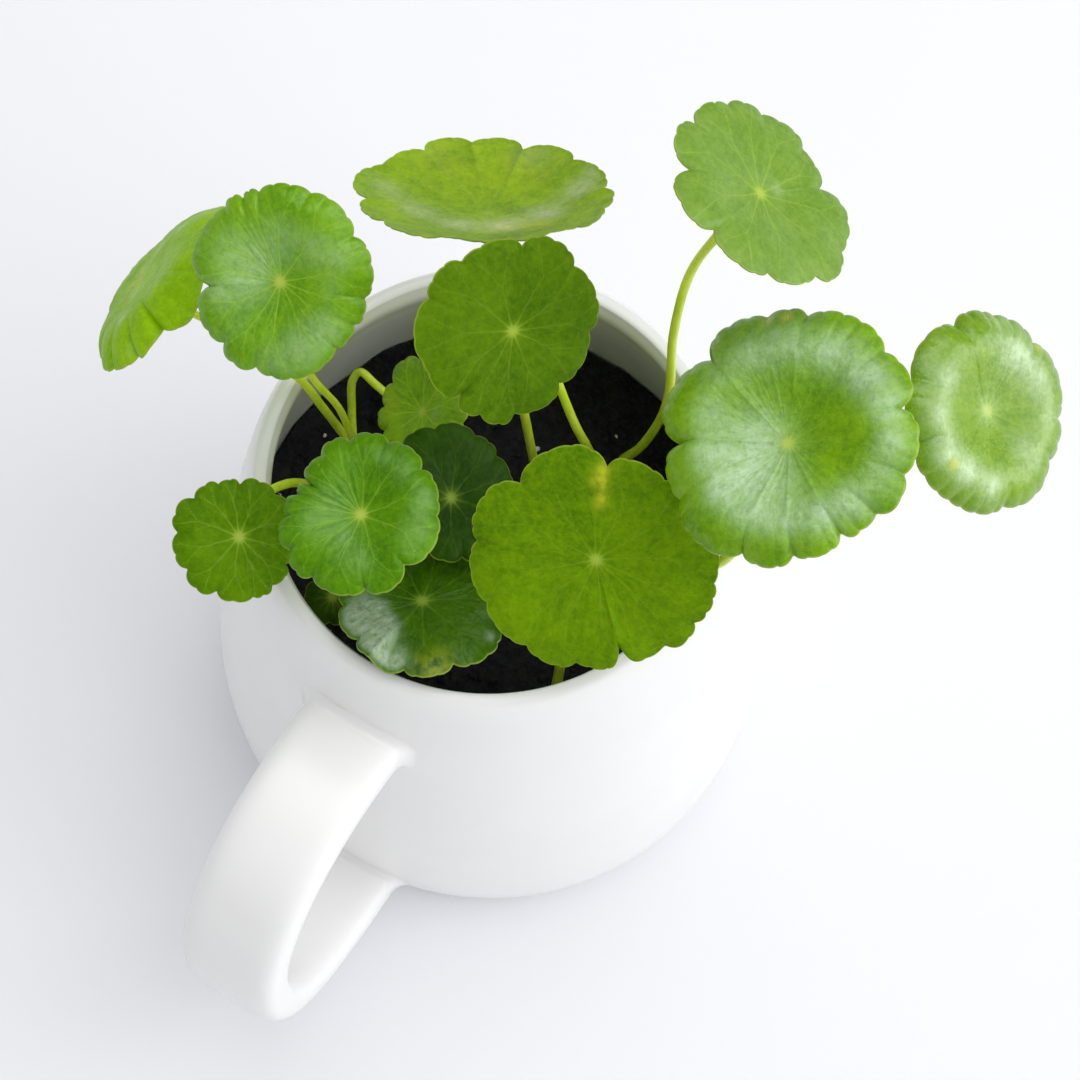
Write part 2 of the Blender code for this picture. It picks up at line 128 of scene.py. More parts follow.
# For each leaf: its hub; its tilt and the azimuth it leans to; how high the blade rises as a ring
# around the hub, and at the margin; its look; then, with angles and shares of the blade,
#   lobes: angle of a notch, radius in the notch, radius of the lobe that follows
#   flaps: angle, half width, lift
#   folds: angles of start, crest and end, lift; the raised part also gets painted sheen
#   spots, yellow blotches, and painted sheen, a pale painted highlight: angle, share, size,
#   strength
#   stalk: the foot on the soil, then the points the stalk passes through
LEAVES = {
    "far_left": dict(
        hub=(-58, 25, 118), tilt=57, lean=154, ring=1, edge=-3, look="bright",
        ruffle=0.06,
        lobes=((12, 17.8, 19), (48, 18.4, 19.2), (80, 17.9, 18), (118, 16.4, 16.7),
               (150, 15.3, 15.6), (190, 14.3, 14.8), (225, 13.8, 14.8), (256, 13.6, 15.6),
               (284, 13.4, 17.8), (326, 16.4, 18.1)),
        flaps=((130, 40, 1.2), (303, 17, -2.1), (262, 20, -1)), spots=((118, 0.32, 2.2, 0.45),),
        painted_sheen=((34, 0.96, 1.7, 0.5), (43, 0.72, 2.1, 0.55), (69, 0.55, 2.4, 0.6),
               (100, 0.4, 2.4, 0.6), (161, 0.16, 2.4, 0.6), (237, 0.41, 2.4, 0.6),
               (254, 0.84, 2.1, 0.55)),
        stalk=((-24.2, 14), (-26.2, 15.1, 80), (-29.3, 14.7, 94), (-32.8, 15.7, 104),
               (-42.4, 20.3, 110)),
        thick=0.95),
    "upper_left": dict(
        hub=(-32.6, 14.3, 144), tilt=34, lean=229, ring=1.6, edge=0, look="veined",
        lobes=((31, 14.4, 15.5), (70, 14.8, 15.2), (106, 14.4, 15.1), (118, 14.4, 15.6),
               (131, 15.2, 15.8), (185, 12.6, 15.1), (226, 14, 15.2), (254, 14.2, 15.2),
               (315, 14, 14.6), (334, 14, 15), (352, 14.6, 16)),
        painted_sheen=((149, 0.63, 4.3, 0.6), (186, 0.36, 4.7, 0.75), (129, 0.3, 4.7, 0.6),
               (86, 0.49, 3.9, 0.55), (39, 0.56, 3.9, 0.65), (20, 0.77, 2.8, 0.6),
               (193, 0.66, 2.8, 0.7), (294, 0.74, 4.7, 0.75), (321, 0.73, 3.5, 0.75),
               (266, 0.8, 3.2, 0.5), (227, 0.68, 2.8, 0.35), (356, 0.62, 2.4, 0.4)),
        stalk=((-21.9, 11.4), (-24.2, 11, 90), (-25.9, 11.4, 102), (-29.4, 11.4, 114),
               (-31.5, 11.7, 132)),
        thick=0.8),
    "back": dict(
        hub=(-1.1, 30.4, 138), tilt=38, lean=91, ring=0.6, edge=4, look="soft",
        lobes=((5, 18.6, 19.5), (44, 18.7, 20.5), (73, 17.6, 20.6), (100, 19.4, 21.6),
               (125, 19.1, 20.4), (150, 20.2, 21.6), (190, 19.2, 21), (216, 19.6, 20.5),
               (250, 19.2, 19.2), (285, 17.8, 19), (320, 18.6, 19.8), (344, 19.2, 20)),
        spots=((322, 0.5, 3, 0.55), (296, 0.35, 2.4, 0.4), (70, 0.75, 6, 0.22),
               (112, 0.75, 6, 0.22)),
        painted_sheen=((169, 0.82, 3.6, 0.5), (192, 0.56, 4, 0.6), (232, 0.36, 4, 0.7),
               (296, 0.29, 4, 0.8), (352, 0.45, 4, 0.75), (18, 0.76, 3.6, 0.7),
               (28, 0.95, 2.4, 0.6), (67, 0.88, 4.9, 0.4), (122, 1, 4.9, 0.25)),
        stalk=((19, 14), (17, 13, 82), (14, 12.5, 96), (10.5, 14, 112), (3.5, 24, 130))),
    "centre": dict(
        hub=(3.7, 4.5, 150), tilt=44, lean=302, ring=0.5, edge=-0.8, look="matte",
        lobes=((355, 13, 14.6), (43, 13.8, 15.2), (84, 13.2, 14.4), (127, 14, 15.4),
               (157, 14.4, 15.5), (195, 14.8, 14.6), (231, 12.4, 14.6), (251, 14, 15),
               (274, 13.5, 13.9), (312, 12.3, 13.4)),
        painted_sheen=((253, 0.66, 6.2, 0.2),),
        stalk=((8, 13), (7, 13, 80), (5.5, 12, 100), (3.5, 9, 130))),
    "upper_right": dict(
        hub=(39.5, 19.7, 168), tilt=34, lean=16, ring=0.8, edge=0.2, look="satin",
        lobes=((28, 13, 14.2), (56, 14.4, 15.8), (88, 15.4, 16.1), (113, 15.2, 15.6),
               (147, 14.1, 16.1), (188, 13.2, 17), (231, 13.6, 15.6), (275, 14.2, 15.4),
               (312, 14.8, 16.8), (345, 16, 16.7)),
        painted_sheen=((151, 0.49, 6.7, 0.45), (69, 0.81, 6, 0.4), (214, 0.59, 4.5, 0.4),
               (291, 0.42, 6, 0.45), (346, 0.78, 4.5, 0.5), (34, 0.23, 1.2, 1),
               (74, 0.16, 3, 0.5), (297, 0.85, 4.5, 0.4)),
        stalk=((23.5, 17.8), (26.3, 17.5, 74), (28.8, 16.8, 87), (29.8, 15.6, 102),
               (29.2, 15.6, 128), (30.7, 16.5, 148), (34, 17, 159.5))),
    "big_right": dict(
        hub=(45.1, -13.2, 152), tilt=22, lean=194, ring=2.6, edge=-0.4, look="glossy",
        lobes=((13, 17.7, 20.5), (42, 19.7, 21.4), (82, 20.2, 21.3), (100, 20.9, 21.8),
               (131, 19, 21), (176, 17.2, 19.3), (204, 18.6, 20), (247, 18, 19.1),
               (273, 17.4, 18.3), (299, 16.6, 18.1), (319, 17.8, 19.5), (341, 18.5, 19.8)),
        spots=((90, 0.93, 1.1, 0.8), (100, 0.94, 0.8, 0.8)),
        painted_sheen=((163, 0.22, 5.7, 0.8), (219, 0.39, 6, 0.8), (266, 0.34, 4.5, 0.6),
               (132, 0.77, 3.8, 0.5), (108, 0.74, 4.2, 0.7), (87, 0.76, 4.2, 0.75),
               (61, 0.74, 4.2, 0.8), (34, 0.76, 3.8, 0.9), (13, 0.82, 3.4, 0.8),
               (353, 0.82, 3, 0.7), (337, 0.81, 3, 0.5), (316, 0.72, 3.8, 0.7),
               (295, 0.66, 3.8, 0.75), (271, 0.62, 3.4, 0.7), (249, 0.61, 3.4, 0.75),
               (218, 0.58, 3.4, 0.75), (186, 0.59, 3.4, 0.7), (157, 0.64, 3.4, 0.6)),
        stalk=((27, -6), (29, -9, 88), (32.5, -13.5, 104), (37.5, -20, 118), (43.5, -17, 138)),
        thick=1.2),
    "far_right": dict(
        hub=(77.3, -0.9, 138), tilt=34, lean=334, ring=2.6, edge=-0.6, look="pale_glossy",
        lobes=((0, 15.1, 16.1), (53, 14.6, 15.6), (85, 15.3, 15.7), (117, 14.2, 15.8),
               (165, 15, 15.6), (204, 15.1, 16.2), (245, 15.9, 16.1), (286, 15.2, 16.2),
               (332, 15, 15.7)),
        spots=((228, 0.76, 0.9, 0.8), (50, 0.93, 1, 0.6)),
        painted_sheen=((66, 0.62, 4.3, 0.95), (33, 0.62, 3.5, 0.8), (86, 0.85, 3.2, 0.5),
               (159, 0.67, 3.2, 0.8), (189, 0.72, 3.2, 0.8), (217, 0.76, 3.2, 0.9),
               (241, 0.72, 3.2, 0.95), (268, 0.76, 2.8, 0.9), (317, 0.55, 3.9, 0.7),
               (0, 0.66, 3.2, 0.6)),
        stalk=((22, 2), (25, 1, 86), (31, -1, 104), (44, -2, 119), (62, -0.5, 129)), thick=1.1),
    "big_front": dict(
        hub=(17.6, -23.9, 128), tilt=45, lean=264, ring=1, edge=0.6, look="matte_yellow",
        lobes=((25, 18, 18.6), (55, 17.8, 18.2), (86, 16.3, 19.9), (134, 17.5, 20.5),
               (173, 18.8, 19.8), (206, 18.9, 19.5), (236, 18.7, 19.6), (262, 18.2, 18.5),
               (287, 14.6, 18.4), (310, 18.1, 19.5), (329, 18.8, 19.5), (352, 18.9, 19.2)),
        flaps=((287, 12, 0.9),), spots=((88, 0.9, 1.3, 0.7), (89, 0.78, 1.4, 0.9),
                                   (87, 0.66, 1.1, 0.8), (89, 0.56, 0.9, 0.5)),
        painted_sheen=((176, 0.38, 4, 0.45), (206, 0.23, 3.6, 0.4), (250, 0.34, 2.8, 0.3),
               (300, 0.7, 6, 0.6), (340, 0.75, 6, 0.6), (250, 0.8, 6, 0.5), (20, 0.75, 5, 0.5)),
        stalk=((12.5, -27), (13, -26, 80), (15, -21.5, 102), (17.5, -18.5, 118)), thick=1.1),
    "left": dict(
        hub=(-19.3, -16.9, 126), tilt=18, lean=195, ring=1.6, edge=0, look="fresh",
        lobes=((35, 12, 13.1), (71, 12.5, 13.5), (102, 12.7, 13.7), (126, 12.7, 12.9),
               (149, 10.7, 12.3), (160, 12, 13.4), (178, 12.9, 14.1), (203, 13.1, 13.9),
               (231, 12.6, 13.3), (276, 12.3, 13.7), (312, 12, 13.6), (356, 12.8, 13.1)),
        flaps=((312, 12, 1),),
        painted_sheen=((164, 0.34, 3.6, 0.6), (188, 0.58, 3.6, 0.5), (238, 0.34, 3.2, 0.6),
               (272, 0.54, 2.4, 0.5), (68, 0.74, 2, 0.55), (42, 0.73, 2.8, 0.55),
               (7, 0.82, 2.8, 0.65), (339, 0.75, 3.2, 0.6), (278, 0.68, 3.2, 0.3),
               (106, 0.61, 3.2, 0.3)),
        stalk=((-17, -8), (-19, -9.5, 86), (-22, -13, 104), (-20.5, -15.5, 118))),
    "small_left": dict(
        hub=(-39.8, -16.1, 112), tilt=22, lean=292, ring=0.6, edge=-0.4, look="matte_fresh",
        lobes=((51, 9.3, 9.8), (91, 8.7, 9.5), (113, 9.4, 10.2), (141, 9.8, 11.2),
               (178, 10.1, 10.9), (214, 10.1, 11.1), (249, 9.7, 10.7), (285, 10.3, 10.5),
               (306, 9.7, 10), (331, 8.9, 9.8), (8, 9.2, 9.8)),
        stalk=((-26, 5), (-30, 3, 86), (-34, -2, 100), (-38, -8, 107))),
    "young": dict(
        hub=(-12, 13.2, 97), tilt=42, lean=188, ring=1, edge=-0.6, look="young",
        lobes=((20, 9.6, 10.4), (62, 9.8, 10.8), (100, 10.2, 11.4), (138, 9.6, 10.4),
               (165, 9.8, 11), (190, 10, 10.9), (225, 9.8, 10.8), (262, 9.6, 10.4),
               (300, 9.4, 10.2), (340, 9.4, 10)),
        flaps=((150, 25, 0.9), (200, 18, -0.7), (245, 22, 0.8)), spots=((165, 0.8, 3, 0.35),),
        painted_sheen=((345, 0.35, 1.6, 0.8), (94, 0.09, 1.9, 0.4), (191, 0.23, 1.7, 0.35),
               (204, 0.61, 1.3, 0.3)),
        stalk=((-25.2, 16.8), (-25.3, 20.2, 80), (-25, 23.4, 86), (-23.5, 24, 88.4),
               (-20.7, 21.8, 88), (-14, 16.5, 88), (-9.8, 14, 91.5)), thick=0.95),
    "shaded": dict(
        hub=(-6, -6.6, 108), tilt=27, lean=344, ring=0.8, edge=-0.4, look="dark",
        lobes=((10, 11.2, 12.2), (46, 11.7, 12.4), (70, 12, 12.9), (105, 12, 12.6),
               (140, 11.6, 12.3), (175, 11.4, 12.2), (212, 11.2, 12), (250, 10.2, 10.8),
               (285, 10.2, 11.2), (328, 10.8, 11.8)),
        painted_sheen=((86, 0.94, 3.8, 0.4), (60, 0.9, 3.4, 0.35), (110, 0.94, 2.9, 0.2)),
        stalk=((-9, -2), (-9, -3, 84), (-8, -4.5, 96))),
    "low_front": dict(
        hub=(-10.2, -22.4, 101.5), tilt=16, lean=92, ring=0.8, edge=-0.6, look="dark_glossy",
        lobes=((20, 13.6, 14.4), (58, 13.4, 14.2), (95, 13.4, 14.3), (135, 13.5, 14.3),
               (184, 13.2, 14.2), (220, 13.4, 15), (260, 13.6, 14.8), (295, 13.4, 15.2),
               (340, 14, 14.8)),
        folds=((178, 238, 246, 2),), flaps=((195, 14, -0.6),), spots=((282, 0.88, 2.6, 0.5),),
        painted_sheen=((198, 0.72, 3.4, 0.75), (225, 0.7, 3.8, 0.9), (250, 0.89, 3.4, 0.9),
               (181, 0.64, 2.5, 0.7), (330, 0.91, 1.2, 0.8), (347, 0.77, 1.7, 0.3)),
        stalk=((-5, -16), (-6, -17.5, 84), (-9, -21, 94))),
    "sprout": dict(
        hub=(-26.6, -15.5, 82), tilt=16, lean=220, ring=0.2, edge=-0.2, look="dark",
        lobes=((15, 4.6, 5.1), (75, 4.7, 5.2), (140, 4.6, 5.1), (205, 4.7, 5.2),
               (265, 4.6, 5.1), (320, 4.5, 5)),
        stalk=((-25, -12.5), (-25.8, -13.8, 78))),
}

# Each look: two greens, strength and colour of the painted sheen (a pale painted highlight),
# roughness and shine; how pale the veins and the hub are; in millimetres the wrinkles, the domes
# between veins and the crinkles; and its slot
LOOK_PARTS = ("deep", "light", "painted_sheen_strength", "painted_sheen_colour", "rough", "shine", "veins", "hub", "wrinkle",
              "dome", "crinkle", "slot")
LOOKS = {name: dict(zip(LOOK_PARTS, row)) for name, *row in (
    ("glossy", (0.100, 0.248, 0.001), (0.200, 0.405, 0.001), 0.95, (0.500, 0.700, 0.430),
     0.27, 0.32, 0.12, 0.65, 0.06, 0.05, 0.12, "leaf_glossy"),
    ("veined", (0.092, 0.262, 0.001), (0.185, 0.405, 0.004), 0.8, (0.440, 0.660, 0.310),
     0.27, 0.26, 0.42, 0.7, 0.06, 0.1, 0.08, "leaf_glossy"),
    ("fresh", (0.058, 0.186, 0.001), (0.118, 0.305, 0.001), 0.7, (0.320, 0.540, 0.200),
     0.3, 0.14, 0.4, 0.7, 0.06, 0.1, 0.08, "leaf_glossy"),
    ("pale_glossy", (0.120, 0.268, 0.002), (0.205, 0.372, 0.008), 0.8, (0.560, 0.740, 0.440),
     0.27, 0.55, 0.12, 0.5, 0.06, 0.05, 0.12, "leaf_glossy"),
    ("bright", (0.180, 0.390, 0.001), (0.280, 0.520, 0.001), 0.95, (0.640, 0.720, 0.360),
     0.4, 0.1, 0.03, 0.04, 0.05, 0.02, 0.05, "leaf_glossy"),
    ("satin", (0.115, 0.245, 0.010), (0.178, 0.325, 0.030), 0.55, (0.360, 0.520, 0.220),
     0.4, 0.3, 0.36, 0.55, 0.05, 0.05, 0.05, "leaf_glossy"),
    ("soft", (0.130, 0.270, 0.001), (0.265, 0.435, 0.003), 0.95, (0.580, 0.620, 0.420),
     0.5, 0.22, 0.03, 0.2, 0.05, 0.03, 0.05, "leaf_matte"),
    ("matte", (0.052, 0.135, 0.001), (0.105, 0.212, 0.002), 0.4, (0.160, 0.270, 0.050),
     0.6, 0.05, 0.2, 0.45, 0.03, 0.04, 0.05, "leaf_matte"),
    ("matte_yellow", (0.070, 0.168, 0.001), (0.150, 0.288, 0.001), 0.8, (0.200, 0.360, 0.004),
     0.58, 0.04, 0.14, 0.45, 0.08, 0.04, 0.06, "leaf_matte"),
    ("matte_fresh", (0.060, 0.160, 0.001), (0.110, 0.240, 0.001), 0.4, (0.200, 0.300, 0.050),
     0.55, 0.04, 0.34, 0.5, 0.04, 0.05, 0.05, "leaf_matte"),
    ("dark", (0.013, 0.048, 0.001), (0.036, 0.100, 0.001), 0.6, (0.160, 0.270, 0.090),
     0.4, 0.08, 0.2, 0.45, 0.05, 0.05, 0.06, "leaf_dark"),
    ("dark_glossy", (0.024, 0.086, 0.001), (0.075, 0.198, 0.001), 0.95, (0.460, 0.580, 0.420),
     0.26, 0.22, 0.25, 0.5, 0.09, 0.09, 0.14, "leaf_dark"),
    ("young", (0.135, 0.300, 0.002), (0.270, 0.500, 0.004), 0.6, (0.300, 0.450, 0.200),
     0.33, 0.4, 0.5, 0.6, 0.07, 0.1, 0.08, "leaf_glossy"),
)}


# Small helpers

def smoothstep(low, high, value):
    t = np.clip((value - low) / (high - low), 0, 1)
    return t * t * (3 - 2 * t)


def spline_points(points, steps):
    """Points along a smooth curve that passes through every given point without a loop."""
    ends = [points[0] * 2 - points[1], *points, points[-1] * 2 - points[-2]]
    found = []
    for before, start, end, after in zip(ends, ends[1:], ends[2:], ends[3:]):
        a, b, c = (sqrt((q - p).length) for p, q in ((before, start), (start, end), (end, after)))
        leave = ((start - before) / a - (end - before) / (a + b) + (end - start) / b) * b
        arrive = ((end - start) / b - (after - start) / (b + c) + (after - end) / c) * b
        for step in range(steps):
            t = step / steps
            found.append(start * (1 + t * t * (2 * t - 3)) + end * (t * t * (3 - 2 * t))
                         + leave * (t * (1 - t) ** 2) - arrive * (t * t * (1 - t)))
    return found + [points[-1].copy()]


def put(name, data):
    """An object with the given data, placed in the scene."""
    made = bpy.data.objects.new(name, data)
    bpy.context.scene.collection.objects.link(made)
    return made


def new_piece(name, points, faces, finish, attributes=None, sharp=50):
    """A smooth-shaded mesh object in millimetre points, with float attributes on its points."""
    mesh = bpy.data.meshes.new(name)
    mesh.from_pydata((np.asarray(points) * MM).tolist(), [], faces)
    for label, values in (attributes or {}).items():
        layer = mesh.attributes.new(label, "FLOAT", "POINT")
        layer.data.foreach_set("value", np.asarray(values, np.float32))
    mesh.shade_smooth()
    mesh.set_sharp_from_angle(angle=radians(sharp))
    mesh.materials.append(finish)
    return put(name, mesh)


def ring(radius, height, turns):
    """Level points around the axis."""
    return [(radius * cos(a), radius * sin(a), height) for a in turns]


def heading(route, i):
    """The direction of a route at one of its points."""
    return (route[min(i + 1, len(route) - 1)] - route[max(i - 1, 0)]).normalized()


def stand_for(piece, node):
    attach(piece, "root")
    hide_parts(node)


def grid_faces(rows, columns, first=0, flip=False):
    """Quads between rings of points that close on themselves."""
    faces = []
    for row in range(rows - 1):
        low, high = first + row * columns, first + (row + 1) * columns
        for i in range(columns):
            j = (i + 1) % columns
            quad = (low + i, high + i, high + j, low + j)
            faces.append(quad[::-1] if flip else quad)
    return faces


def end_fans(columns, first, last, start, end):
    """Triangles that close the first ring around one point and the last ring around another."""
    faces = []
    for i in range(columns):
        j = (i + 1) % columns
        faces += [(start, first + i, first + j), (end, last + j, last + i)]
    return faces


# Node materials

class Nodes:
    """A short way to write a material's node tree."""

    def __init__(self, name):
        self.material = bpy.data.materials.new(name)
        self.material.use_nodes = True
        self.tree = self.material.node_tree
        self.shader = self.tree.nodes["Principled BSDF"]
        self.place = self.add("ShaderNodeTexCoord").outputs["Object"]

    def add(self, kind, **settings):
        node = self.tree.nodes.new(kind)
        for key, value in settings.items():
            setattr(node, key, value)
        return node

    def link(self, source, target):
        if isinstance(source, (int, float)):
            target.default_value = source
        elif isinstance(source, (tuple, list)):
            target.default_value = (*source, 1) if len(source) == 3 else source
        else:
            self.tree.links.new(source, target)

    def attribute(self, name):
        return self.add("ShaderNodeAttribute", attribute_name=name).outputs["Fac"]

    def math(self, operation, *values):
        node = self.add("ShaderNodeMath", operation=operation)
        for value, socket in zip(values, node.inputs):
            self.link(value, socket)
        return node.outputs[0]

    def ramp(self, value, low, high, to_low=0.0, to_high=1.0):
        """Smooth change from to_low to to_high as value goes from low to high."""
        node = self.add("ShaderNodeMapRange", interpolation_type="SMOOTHSTEP")
        for key, item in (("Value", value), ("From Min", low), ("From Max", high),
                          ("To Min", to_low), ("To Max", to_high)):
            self.link(item, node.inputs[key])
        return node.outputs["Result"]

    def noise(self, scale, detail=3, rough=0.55, stretch=None, seed=0.0):
        node = self.add("ShaderNodeTexNoise", noise_dimensions="4D")
        place = self.place
        if stretch:
            mapping = self.add("ShaderNodeMapping")
            self.link(self.place, mapping.inputs["Vector"])
            mapping.inputs["Scale"].default_value = stretch
            place = mapping.outputs["Vector"]
        self.link(place, node.inputs["Vector"])
        for key, value in (("W", seed), ("Scale", scale), ("Detail", detail), ("Roughness", rough)):
            node.inputs[key].default_value = value
        return node.outputs["Fac"]

    def cells(self, scale, feature="DISTANCE_TO_EDGE"):
        node = self.add("ShaderNodeTexVoronoi", feature=feature)
        self.link(self.place, node.inputs["Vector"])
        node.inputs["Scale"].default_value = scale
        return node.outputs["Distance"]

    def mix(self, share, first, second):
        node = self.add("ShaderNodeMix", data_type="RGBA")
        self.link(share, node.inputs[0])
        self.link(first, node.inputs[6])
        self.link(second, node.inputs[7])
        return node.outputs[2]

    def product(self, first, *others):
        for factor in others:
            first = self.math("MULTIPLY", first, factor)
        return first

    def tint(self, base, colour, *shares):
        """The base, turned to another colour by the product of the shares."""
        return self.mix(self.product(*shares), base, colour)

    def bump(self, height, strength, distance):
        node = self.add("ShaderNodeBump")
        node.inputs["Strength"].default_value = strength
        node.inputs["Distance"].default_value = distance
        self.link(height, node.inputs["Height"])
        return node.outputs["Normal"]

    def finish(self, colour=None, rough=None, normal=None, **numbers):
        for value, key in ((colour, "Base Color"), (rough, "Roughness"), (normal, "Normal")):
            if value is not None:
                self.link(value, self.shader.inputs[key])
        for key, value in numbers.items():
            self.shader.inputs[key.replace("_", " ")].default_value = value
        return self.material


def leaf_material(name, look, seed):
    """Living leaf: mottled green, a pale vein net, painted sheen, pale hub and margin."""
    made = Nodes(f"leaf_skin_{name}")
    patches = made.noise(110, detail=2, seed=seed)
    cells = made.noise(520, detail=3, rough=0.6, seed=seed + 1)
    mottle = made.math("ADD", made.product(patches, 0.55), made.product(cells, 0.45))
    green = made.mix(made.ramp(mottle, 0.34, 0.66), look["deep"], look["light"])
    fine = made.ramp(made.noise(1300, detail=2, rough=0.65, seed=seed), 0.35, 0.68)
    green = made.tint(green, tuple(c * 1.35 for c in look["light"]), fine, 0.25)

    # The finest net between the veins
    net = made.ramp(made.attribute("net"), 0.02, 0.14, 1.0, 0.0)
    green = made.tint(green, tuple(c * 1.3 for c in look["light"]), net, 0.25)

    # Painted sheen: a greyish highlight painted into the colour, broken up by the wrinkles
    broken = made.ramp(made.noise(800, detail=3, rough=0.6, seed=seed + 9), 0.34, 0.64, 0.66, 1.0)
    green = made.tint(green, look["painted_sheen_colour"], made.attribute("painted_sheen"), broken, look["painted_sheen_strength"])
    crease = made.ramp(made.noise(900, detail=3, rough=0.7, seed=seed + 4), 0.50, 0.66, 0.0, 0.3)
    green = made.tint(green, look["deep"], crease)

    # Veins, read from signed and plain distances so that their edges stay sharp
    side = made.math("ABSOLUTE", made.attribute("vein_side"))
    width = made.attribute("vein_width")
    line = made.ramp(made.math("DIVIDE", side, width), 0.2, 0.75, 1.0, 0.0)
    near = made.ramp(made.attribute("vein_away"), 0.3, 0.5, 1.0, 0.0)
    halo = made.ramp(made.attribute("vein_away"), 0.05, 0.5, look["veins"] * 0.25, 0.0)
    pale = tuple(c * 1.15 + 0.14 for c in look["light"][:2]) + (look["light"][2] + 0.04,)
    green = made.tint(green, tuple(c * 1.15 for c in look["light"]), halo)
    green = made.tint(green, pale, line, near, look["veins"])

    # Yellow blotches, the pale hub and the thin pale margin
    torn = made.ramp(made.noise(420, detail=4, seed=seed + 3), 0.3, 0.62)
    green = made.tint(green, (0.55, 0.58, 0.03), made.attribute("blotch"), torn)
    hub = made.attribute("hub_away")
    green = made.tint(green, (0.30, 0.48, 0.02), made.ramp(hub, 0.2, 2.4, 0.6 * look["hub"], 0.0))
    green = made.tint(green, (0.52, 0.64, 0.10), made.ramp(hub, 0.15, 1.15, look["hub"], 0.0))
    rim = made.ramp(made.attribute("rim_away"), 0.05, 0.22, 0.5, 0.0)
    green = made.tint(green, (0.36, 0.46, 0.05), rim)

    rough = made.ramp(made.noise(160, detail=2, seed=seed + 5), 0.3, 0.7,
                      look["rough"] - 0.05, look["rough"] + 0.08)
    dents = made.math("ADD", made.noise(1100, detail=4, rough=0.62, seed=seed),
                      made.product(made.cells(1500), 0.4))
    return made.finish(green, rough, made.bump(dents, 0.8, look["crinkle"] * MM),
                       Specular_IOR_Level=look["shine"])


def stalk_material():
    """Watery green stalk: long streaks, paler upwards, a little brown at the foot."""
    made = Nodes("stalk_skin")
    streaks = made.ramp(made.noise(700, detail=3, stretch=(1, 1, 0.12)), 0.35, 0.65)
    green = made.mix(streaks, (0.60, 0.82, 0.015), (0.78, 0.92, 0.07))
    up = made.attribute("along")
    green = made.tint(green, (0.60, 0.76, 0.06), made.ramp(up, 0.55, 1.0, 0.0, 0.6))
    green = made.tint(green, (0.16, 0.20, 0.02), made.ramp(up, 0.0, 0.08, 0.45, 0.0))
    specks = made.ramp(made.cells(900, feature="F1"), 0.1, 0.22, 0.5, 0.0)
    green = made.tint(green, (0.42, 0.50, 0.14), specks)
    rough = made.ramp(made.noise(300), 0.3, 0.7, 0.3, 0.45)
    return made.finish(green, rough, made.bump(streaks, 0.25, 0.0001),
                       Specular_IOR_Level=0.4)


def glaze_material():
    """White glaze: cream inside, painted lighter than outside as painted light; soil smudges and
    specks above the soil line.
    """
    made = Nodes("white_glaze_skin")
    tone = made.ramp(made.noise(30, detail=2), 0.3, 0.7)
    white = made.mix(tone, (0.880, 0.876, 0.870), (0.905, 0.901, 0.896))
    inside = made.attribute("inside")
    # Cream inside the mouth is the glaze's own tint, but it is painted lighter than the outer white
    # to stand in for light inside the cup
    cream_and_painted_light = made.mix(made.ramp(inside, 2.0, 13.0), (0.965, 0.955, 0.85), (0.955, 0.955, 0.90))
    white = made.mix(made.ramp(inside, 0.2, 2.2, 0.0, 0.9), white, cream_and_painted_light)
    within = made.ramp(inside, 0.5, 2.0)
    above = made.attribute("above_soil")
    lift = made.math("ADD", above, made.product(made.noise(60, detail=4, rough=0.6), -14.0))
    clouds = made.ramp(made.noise(240, detail=4, rough=0.65, stretch=(1, 1, 0.4)), 0.34, 0.62)
    smudge = made.product(made.ramp(lift, -9.0, -4.0, 0.18, 0.0), clouds, within)
    white = made.tint(white, (0.10, 0.095, 0.10), smudge)
    specks = made.ramp(made.noise(700, detail=4, rough=0.75, stretch=(1, 1, 0.5)), 0.52, 0.60)
    specks = made.product(specks, made.ramp(lift, -7.0, 2.0, 0.95, 0.0), within)
    white = made.tint(white, (0.02, 0.018, 0.02), specks)
    dirt = made.math("MAXIMUM", smudge, specks)
    rough = made.ramp(dirt, 0.0, 0.8, 0.27, 0.7)
    skin = made.bump(made.noise(90, detail=2), 0.05, 0.0005)
    return made.finish(white, rough, skin, Specular_IOR_Level=0.3)


def soil_material():
    """Damp near-black potting soil with browner crumbs."""
    made = Nodes("potting_soil_skin")
    crumbs = made.ramp(made.noise(700, detail=5, rough=0.7), 0.35, 0.7)
    dark = made.mix(crumbs, (0.0070, 0.0068, 0.0108), (0.0210, 0.0198, 0.0285))
    fibres = made.ramp(made.noise(260, detail=5, rough=0.75, seed=7), 0.62, 0.72, 0.0, 0.6)
    dark = made.mix(fibres, dark, (0.028, 0.022, 0.021))
    pits = made.math("ADD", made.noise(1600, detail=5, rough=0.7),
                     made.product(made.cells(900), 0.8))
    rough = made.ramp(made.noise(500, detail=3), 0.35, 0.7, 0.55, 0.95)
    return made.finish(dark, rough, made.bump(pits, 0.8, 0.0006), Specular_IOR_Level=0.3)


def speck_material():
    """Pale grit in the soil."""
    made = Nodes("pale_grit_skin")
    tone = made.ramp(made.noise(1800, detail=3), 0.3, 0.7)
    return made.finish(made.mix(tone, (0.62, 0.61, 0.58), (0.86, 0.86, 0.84)), 0.7)


# Leaf blades

def leaf_axes(leaf):
    """The blade's own axes: across, along and out of its upper face."""
    tilt, lean = radians(leaf["tilt"]), radians(leaf["lean"])
    up = Vector((sin(tilt) * cos(lean), sin(tilt) * sin(lean), cos(tilt)))
    across = (Vector((1, 0, 0)) - up * up.x).normalized()
    return across, up.cross(across), up


